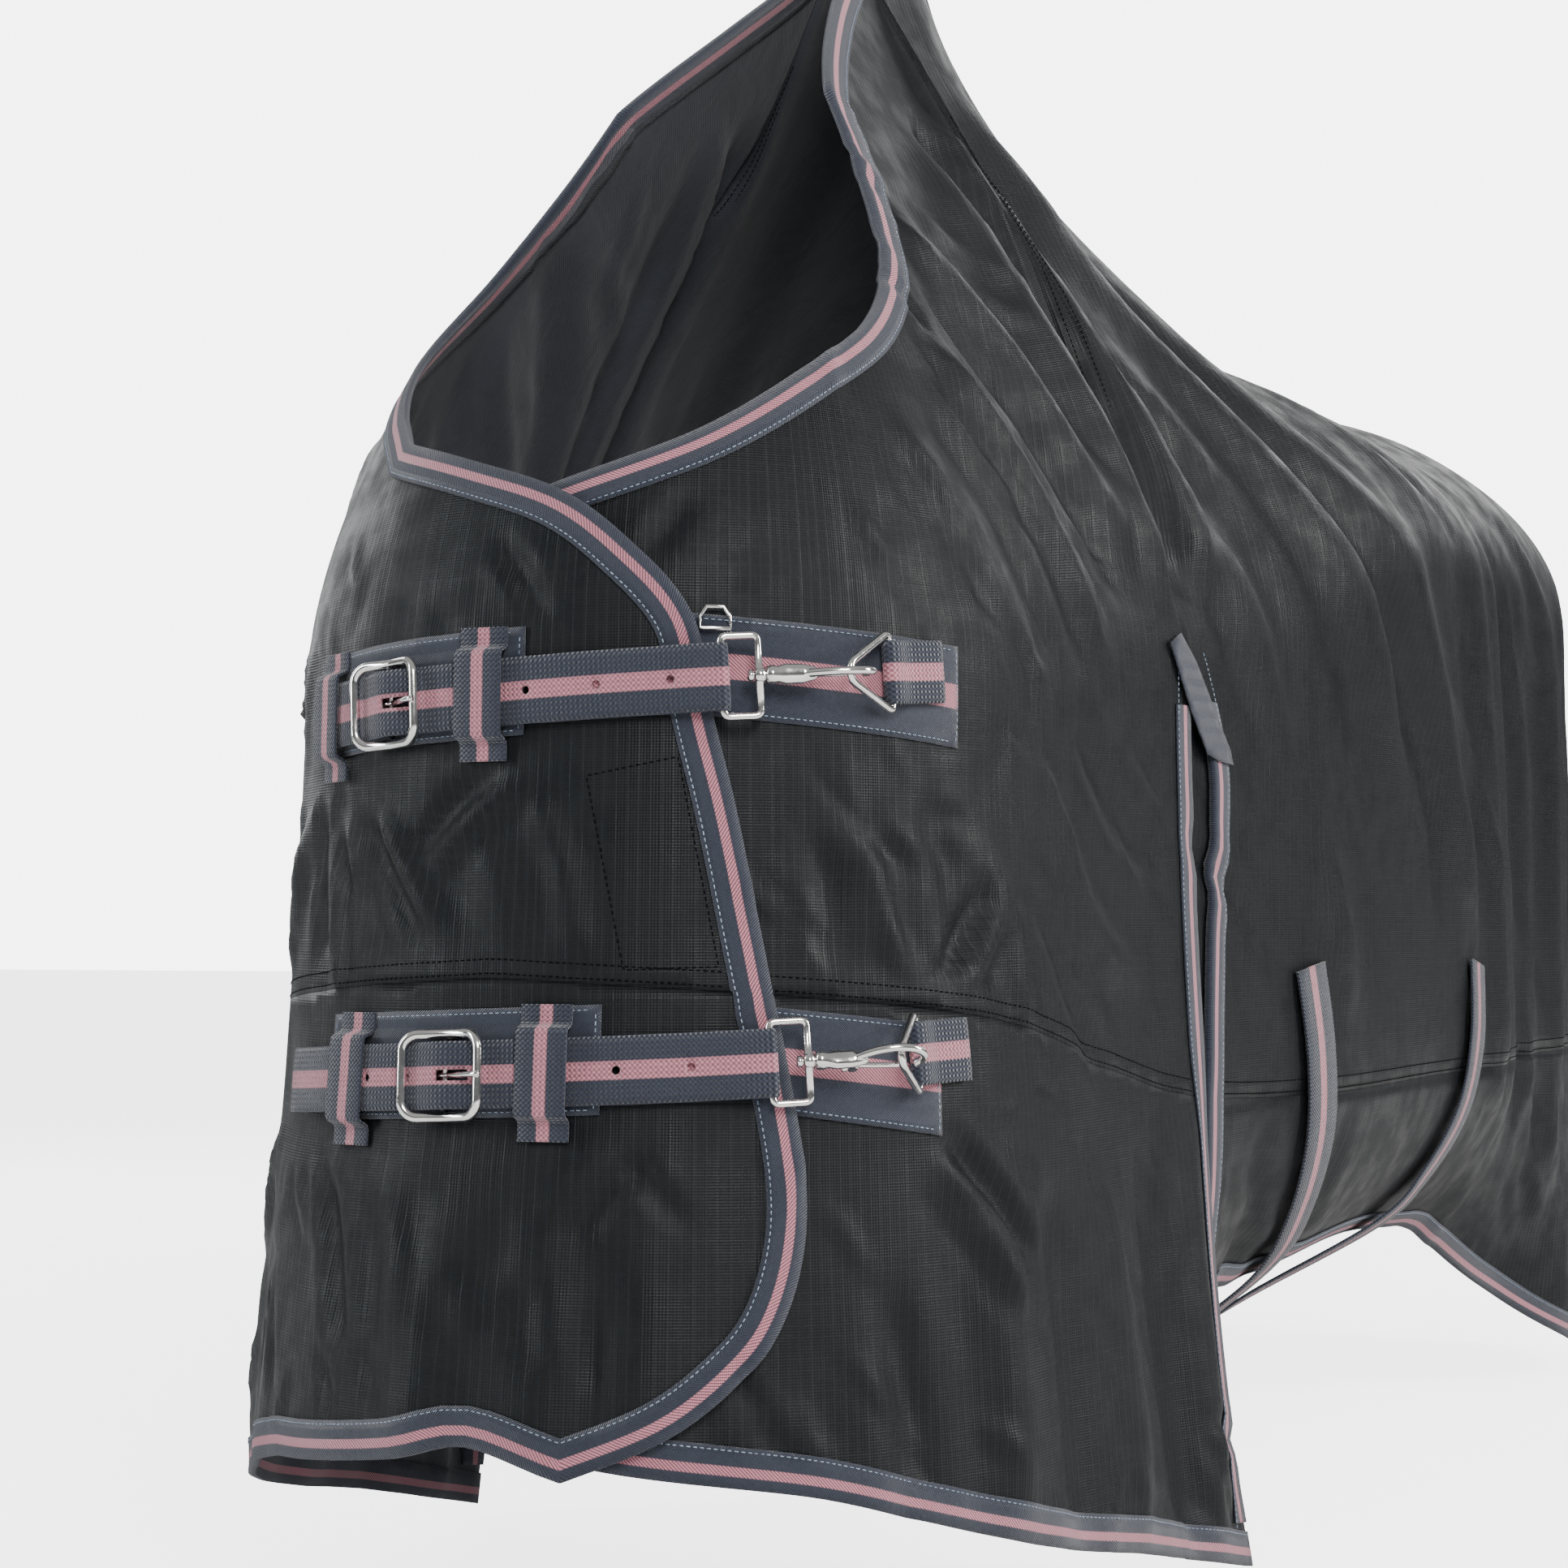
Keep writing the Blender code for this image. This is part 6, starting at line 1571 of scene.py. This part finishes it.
def ripstop(name, dark, light, tint, sheen, specular):
    """Fine coated weave with a faint lighter grid, its tone varying a little at random."""
    net = Net(name, 0.5, specular=specular, sheen=sheen, sheen_rough=0.42)
    _, s, v = net.weave()
    spot = net.place()
    cloud = net.noise(spot, 5.0, 4.0, 0.6)
    slub = net.noise(net.stretch(spot, 420, 420, 28), 1.0, 2.0, 0.6)
    warps = net.line(s, 0.0062, 0.0011)
    wefts = net.line(v, 0.0062, 0.0009)
    base = net.mix(net.span(cloud, 0.3, 0.7), dark, light)
    base = net.mix(net.math("MULTIPLY", net.span(slub, 0.42, 0.75), 0.35), base, tint)
    grid = net.math("MAXIMUM", net.math("MULTIPLY", warps, 0.55), net.math("MULTIPLY", wefts, 0.20))
    net.colour(net.mix(grid, base, tint))
    net.rough(net.math("ADD", net.span(net.noise(spot, 38.0, 3.0), 0.3, 0.7, 0.42, 0.60),
                       net.math("MULTIPLY", grid, -0.08)))
    crease = net.noise(net.stretch(spot, 1, 1, 0.8), 13.0, 3.0, 0.45, 0.5)
    net.bump(crease, 0.0035, 0.22)
    pucker = net.noise(net.stretch(spot, 1, 1, 0.7), 48.0, 2.0, 0.4, 0.4)
    patchy = net.span(net.noise(spot, 4.0, 2.0), 0.45, 0.62)
    net.bump(net.math("MULTIPLY", pucker, patchy), 0.0016, 0.25)
    ribs = net.math("ADD", net.wave(v, 0.0017), net.wave(s, 0.0017))
    net.bump(net.math("ADD", net.math("MULTIPLY", ribs, 0.25), grid), 0.00022, 0.8)
    return net.mat


def twill(name, half=0.0, middle=0.0):
    """Herringbone tape; half is the half width of its pink stripe, or zero for none, and middle its place."""
    net = Net(name, 0.78, specular=0.3, sheen=0.25, sheen_rough=0.5)
    _, u, w = net.weave()
    fold = net.math("PINGPONG", w, 0.0055)
    slope = net.math("ADD", u, fold)
    bars = net.wave(slope, 0.0016)
    yarn = net.noise(net.place(), 300.0, 2.0)
    base = net.mix(net.span(bars, -0.9, 0.9, 0.15, 0.85), NAVY, SLATE)
    base = net.mix(net.math("MULTIPLY", net.span(yarn, 0.35, 0.7), 0.3), base, SLATE)
    if half:
        diagonal = net.math("ADD", u, net.math("MULTIPLY", w, 1.1))
        rows = net.wave(diagonal, 0.0024)
        stripe = net.stripe(w, middle, half)
        rosy = net.mix(net.span(rows, -0.8, 0.8), ROSE, PINK)
        base = net.mix(stripe, base, rosy)
    net.colour(base)
    net.bump(bars, 0.0003, 0.7)
    net.bump(yarn, 0.0006, 0.35)
    return net.mat


def basket(name, half):
    """Coarse webbing: rows of raised yarns, with a pink stripe along its middle."""
    net = Net(name, 0.72, specular=0.35, sheen=0.3, sheen_rough=0.45)
    _, u, w = net.weave()
    length_wise = net.wave(u, 0.0030)
    cell = net.math("MULTIPLY", length_wise, net.wave(w, 0.0032))
    yarn = net.noise(net.place(), 380.0, 2.0)
    tone = net.math("ADD", net.span(cell, -0.7, 0.7, 0.0, 0.75), net.math("MULTIPLY", yarn, 0.3))
    base = net.mix(tone, NAVY, SLATE)
    stripe = net.stripe(w, 0.0, half, 0.0005)
    rosy = net.mix(tone, ROSE, PINK)
    net.colour(net.mix(stripe, base, rosy))
    ribs = net.math("ADD", cell, net.math("MULTIPLY", length_wise, 0.6))
    net.bump(ribs, 0.00055, 0.9)
    net.bump(yarn, 0.0005, 0.35)
    return net.mat


def plated(name):
    net = Net(name, 0.12, metallic=1.0, specular=0.5)
    spot = net.place()
    cloud = net.span(net.noise(spot, 40.0, 3.0), 0.35, 0.7)
    net.colour(net.mix(cloud, (0.78, 0.77, 0.75), (0.90, 0.89, 0.87)))
    net.rough(net.span(net.noise(spot, 120.0, 4.0, 0.6), 0.3, 0.75, 0.07, 0.22))
    net.bump(net.noise(spot, 160.0, 2.0), 0.0006, 0.12)
    return net.mat


def thread(name, colour, light, specular):
    net = Net(name, 0.75, specular=specular)
    spot = net.place()
    net.colour(net.mix(net.span(net.noise(spot, 500.0, 2.0), 0.35, 0.65), colour, light))
    net.bump(net.noise(spot, 1400.0, 1.0), 0.0003, 0.5)
    return net.mat


def bristly(name):
    net = Net(name, 0.9, specular=0.2, sheen=0.3)
    spot = net.place()
    net.colour(net.mix(net.noise(spot, 700.0, 2.0), (0.010, 0.010, 0.012), (0.035, 0.035, 0.04)))
    net.bump(net.noise(spot, 900.0, 2.0), 0.0012, 0.9)
    return net.mat


def tricot(name):
    """Smooth dark lining with a faint fine mesh."""
    net = Net(name, 0.62, specular=0.4, sheen=0.15)
    _, s, v = net.weave()
    spot = net.place()
    cloud = net.span(net.noise(spot, 6.0, 3.0), 0.3, 0.7)
    base = net.mix(cloud, (0.020, 0.023, 0.032), (0.034, 0.038, 0.050))
    mesh = net.math("MULTIPLY", net.wave(s, 0.0022), net.wave(v, 0.0022))
    net.colour(net.mix(net.span(mesh, 0.2, 0.9, 0, 0.35), base, (0.07, 0.08, 0.10)))
    net.bump(net.noise(spot, 26.0, 4.0, 0.5, 0.7), 0.005, 0.5)
    net.bump(mesh, 0.0003, 0.6)
    return net.mat


# ======================= stitching =======================
# pitch, length and radius of the dark seam stitches
COARSE_STITCH = (0.0042, 0.0030, 0.00036)


def stitches(name, rows, mat, pitch=0.0040, length=0.0029, radius=0.00032):
    """Rows of separate thread stitches; each row is (points, outward directions)."""
    verts, faces = [], []
    for points, normals in rows:
        pts, nrm = np.array(points), np.array(normals)
        run = np.concatenate([[0], np.cumsum(np.linalg.norm(np.diff(pts, axis=0), axis=1))])
        pick = lambda table, u: np.array([np.interp(u, run, table[:, i]) for i in range(3)])
        for u in np.arange(pitch / 2, run[-1] - pitch / 2, pitch):
            ends = [pick(pts, u - length / 2), pick(pts, u + length / 2)]
            n = pick(nrm, u)
            t = ends[1] - ends[0]
            if np.linalg.norm(t) < 1e-6:
                continue
            t /= np.linalg.norm(t)
            n -= t * (n @ t)
            n /= np.linalg.norm(n)
            b = np.cross(n, t)
            start = len(verts)
            mid = (ends[0] + ends[1]) / 2
            verts.append(ends[0] - n * radius * 0.6)
            for q in (-0.32, 0.32):
                for a in range(6):
                    verts.append(mid + t * length * q + b * radius * 1.15 * math.cos(a * math.pi / 3)
                                 + n * radius * (math.sin(a * math.pi / 3) + 0.35))
            verts.append(ends[1] - n * radius * 0.6)
            for a in range(6):
                c = (a + 1) % 6
                faces.append((start, start + 1 + c, start + 1 + a))
                faces.append((start + 1 + a, start + 1 + c, start + 7 + c, start + 7 + a))
                faces.append((start + 13, start + 7 + a, start + 7 + c))
    obj = new_object(name, verts, faces, mat)
    PIECES.pop(name)
    STITCHES.append(obj)
    return obj


def cloth_row(line, base, lift):
    """Points and directions of a stitch row along a line of (station, cloth height)."""
    pts = [at(s, v, base(s) + lift) for s, v in line]
    return pts, [normal_at(s, v) for s, v in line]


def bound_row(key, base, mirror=False, where=0.0195):
    """Stitch row near the inner edge of a bound edge's tape."""
    line, inner = tape_lines(key, mirror)
    k = 1 - where / BIND
    row = []
    for (s, v), (si, vi) in zip(line, inner):
        row.append((si + (s - si) * k, vi + (v - vi) * k))
    return cloth_row(row, base, 0.0006 + TAPE)


def shifted(line, ds, dv):
    return [(s + ds, v + dv) for s, v in line]


def make_stitching():
    for tag, key, base, mirror in (("neck_near", "neck", flat_base, False),
                                   ("chest_off", "off", flap_base, False),
                                   ("chest_near", "under", flat_base, False),
                                   ("hem_front_near", "hem", flat_base, False),
                                   ("gusset_front_near", "slit", flat_base, False),
                                   ("gusset_front_off", "slit", flap_base, True),
                                   ("gusset_rear_near", "body_front", flat_base, False),
                                   ("gusset_rear_off", "body_front", flat_base, True),
                                   ("hem_body_near", "body_hem", flat_base, False),
                                   ("hem_body_off", "body_hem", flat_base, True)):
        stitches("stitch_" + tag, [bound_row(key, base, mirror)], THREAD_LIGHT)
    for tag, side, base in (("near", 1, flat_base), ("off", -1, flap_base)):
        start = UNDERLAP + BIND if side > 0 else -SEAM_CROSS + .025
        front = [side * s for s in dense([start, GUSSET - BIND])]
        back = [side * s for s in dense([BODY_FRONT + BIND, REAR - BIND])]
        rows = []
        for ss in (front, back):
            for up in (.0030, .0115):
                rows.append(cloth_row([(s, along(SEAM, abs(s)) + up) for s in ss], base, 0.0001))
        stitches("stitch_seam_" + tag, rows, THREAD_DARK, *COARSE_STITCH)
    shoulder_v = dense([-.27, .20])
    for tag, side in (("near", 1), ("off", -1)):
        rows = [cloth_row([(side * (GUSSET + d), v) for v in shoulder_v], flat_base, 0.0001)
                for d in (.004, .010)]
        stitches("stitch_shoulder_" + tag, rows, THREAD_DARK, *COARSE_STITCH)
    box = dense_line([(.052, -.418), (.102, -.407), (.124, -.53), (.074, -.532), (.052, -.418)])
    stitches("stitch_chest_box", [cloth_row(box, flap_base, 0.0001)], THREAD_DARK, *COARSE_STITCH)


def dense_line(points, step=0.006):
    out = [points[0]]
    for a, b in zip(points, points[1:]):
        n = max(1, round(math.dist(a, b) / step))
        out += [tuple(np.array(a) + (np.array(b) - np.array(a)) * k / n) for k in range(1, n + 1)]
    return out


# ======================= build =======================
STITCHES = []
NAVY, SLATE = (0.0065, 0.0092, 0.0190), (0.027, 0.034, 0.056)
PINK, ROSE = (0.56, 0.245, 0.295), (0.19, 0.062, 0.088)
SHELL_CLOTH = ripstop("ripstop_cloth", (0.0026, 0.0036, 0.0052), (0.0048, 0.0058, 0.0072),
                      (0.0085, 0.0108, 0.0130), 0.014, 0.18)
LINING_CLOTH = tricot("lining")
BINDING_TAPE = twill("bound_tape", 0.0027, 0.0080)
PATCH_TAPE = twill("patch_tape")
RING_TAPE = twill("ring_patch_tape", 0.0075)
WEBBING = basket("webbing_cloth", 0.0054)
KEEPER_WEB = basket("keeper_cloth", 0.0040)
VELCRO = bristly("hook_and_loop")
CHROME = plated("bright_plate")
THREAD_LIGHT = thread("light_thread", (0.16, 0.21, 0.29), (0.30, 0.36, 0.45), 0.35)
THREAD_DARK = thread("dark_thread", (0.0010, 0.0010, 0.0012), (0.0025, 0.0025, 0.0028), 0.06)

make_cloth()
make_bindings()
make_spine()
make_tail_flap()
make_velcro()
make_patches()
chest_strap("upper", lambda s: -.372 + .060 * (s + .071), -.165, -.138, -.071, -.009, .125, .025,
            math.radians(-6), math.radians(0), .18, [.018, .058, .098])
chest_strap("lower", lambda s: -.595 + .050 * (s + .023), -.168, -.090, -.023, .034, .150, .075,
            math.radians(3), math.radians(-30), .20, [-.075, -.047, .072, .110])
make_d_ring()
make_surcingles()
make_stitching()

for name, obj in PIECES.items():
    if name == "tail_flap":
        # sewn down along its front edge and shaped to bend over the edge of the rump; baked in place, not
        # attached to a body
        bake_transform(obj)
    else:
        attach(obj, BODY_OF[name])
    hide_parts(name)
for obj in STITCHES:
    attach(obj, "rug")

# ======================= cloth sheets =======================
for name in SHEETS:
    wide, high, area = SHEETS[name]
    round(area, 4)

# ======================= room, light and camera =======================
def stage_plane(name, size, location, colour):
    bpy.ops.mesh.primitive_plane_add(size=size, location=location)
    plane = bpy.context.object
    plane.name = name
    net = Net(name, 0.9, specular=0.2)
    net.colour(net.mix(net.noise(net.place(), 3.0), colour, tuple(c * 0.985 for c in colour)))
    net.put(net.bsdf.inputs["Emission Strength"],
            net.math("MULTIPLY", net.node("ShaderNodeLightPath").outputs["Is Camera Ray"], 3.5))
    net.bsdf.inputs["Emission Color"].default_value = (1, 1, 1, 1)
    plane.data.materials.append(net.mat)


def area_light(name, place, target, size, power, colour):
    lamp = bpy.data.lights.new(name, "AREA")
    lamp.shape = "RECTANGLE"
    lamp.size, lamp.size_y = size
    lamp.energy = power
    lamp.color = colour
    obj = bpy.data.objects.new(name, lamp)
    obj.location = place
    obj.rotation_euler = (Vector(target) - Vector(place)).to_track_quat("-Z", "Y").to_euler()
    bpy.context.scene.collection.objects.link(obj)


def make_world():
    """White backdrop, with softer light that falls off towards the ground for the object and its gloss."""
    world = bpy.data.worlds.new("studio")
    world.use_nodes = True
    nodes, links = world.node_tree.nodes, world.node_tree.links
    backdrop = nodes["Background"]
    backdrop.inputs["Color"].default_value = (1, 1, 1, 1)
    backdrop.inputs["Strength"].default_value = 6.0
    fill_light = nodes.new("ShaderNodeBackground")
    fill_light.inputs["Strength"].default_value = 0.38
    split = nodes.new("ShaderNodeSeparateXYZ")
    links.new(nodes.new("ShaderNodeTexCoord").outputs["Generated"], split.inputs[0])
    ramp = nodes.new("ShaderNodeValToRGB")
    ramp.color_ramp.elements[0].position, ramp.color_ramp.elements[0].color = 0.35, (0.16, 0.17, 0.18, 1)
    ramp.color_ramp.elements[1].position, ramp.color_ramp.elements[1].color = 0.80, (1, 1, 1, 1)
    dark = ramp.color_ramp.elements.new(0.52)
    dark.color = (0.30, 0.31, 0.32, 1)
    height = nodes.new("ShaderNodeMapRange")
    height.inputs["From Min"].default_value = -1
    links.new(split.outputs[2], height.inputs["Value"])
    links.new(height.outputs[0], ramp.inputs[0])
    links.new(ramp.outputs[0], fill_light.inputs["Color"])
    seen = nodes.new("ShaderNodeMixShader")
    links.new(nodes.new("ShaderNodeLightPath").outputs["Is Camera Ray"], seen.inputs[0])
    links.new(fill_light.outputs[0], seen.inputs[1])
    links.new(backdrop.outputs[0], seen.inputs[2])
    links.new(seen.outputs[0], nodes["World Output"].inputs["Surface"])
    bpy.context.scene.world = world


stage_plane("floor", 60, (0, 0, -0.956), (0.90, 0.90, 0.90))
make_world()
area_light("key", (2.2, -3.6, 1.5), (0.1, -0.6, -0.4), (1.2, 1.6), 150, (1.0, 0.985, 0.96))
area_light("side", (3.4, 0.2, 0.9), (0.2, -0.3, -0.3), (0.9, 2.0), 140, (1.0, 0.98, 0.95))
area_light("left", (-2.8, -2.6, 0.6), (0, -0.8, -0.5), (0.7, 2.2), 75, (0.95, 0.98, 1.0))
area_light("back", (0.6, 4.0, 1.6), (0, 0.4, -0.4), (2.6, 1.6), 45, (1.0, 1.0, 1.0))
area_light("off_side", (-3.6, 1.4, 1.0), (0, 0.2, -0.4), (2.4, 2.2), 60, (0.97, 0.99, 1.0))

camera = bpy.data.cameras.new("camera")
camera.lens = 74.534
camera.sensor_width = 36
camera_object = bpy.data.objects.new("camera", camera)
camera_object.location = (0.93894, -2.61590, -0.51)
camera_object.rotation_euler = (math.radians(92.634), 0, math.radians(24.086))
bpy.context.scene.collection.objects.link(camera_object)
bpy.context.scene.camera = camera_object
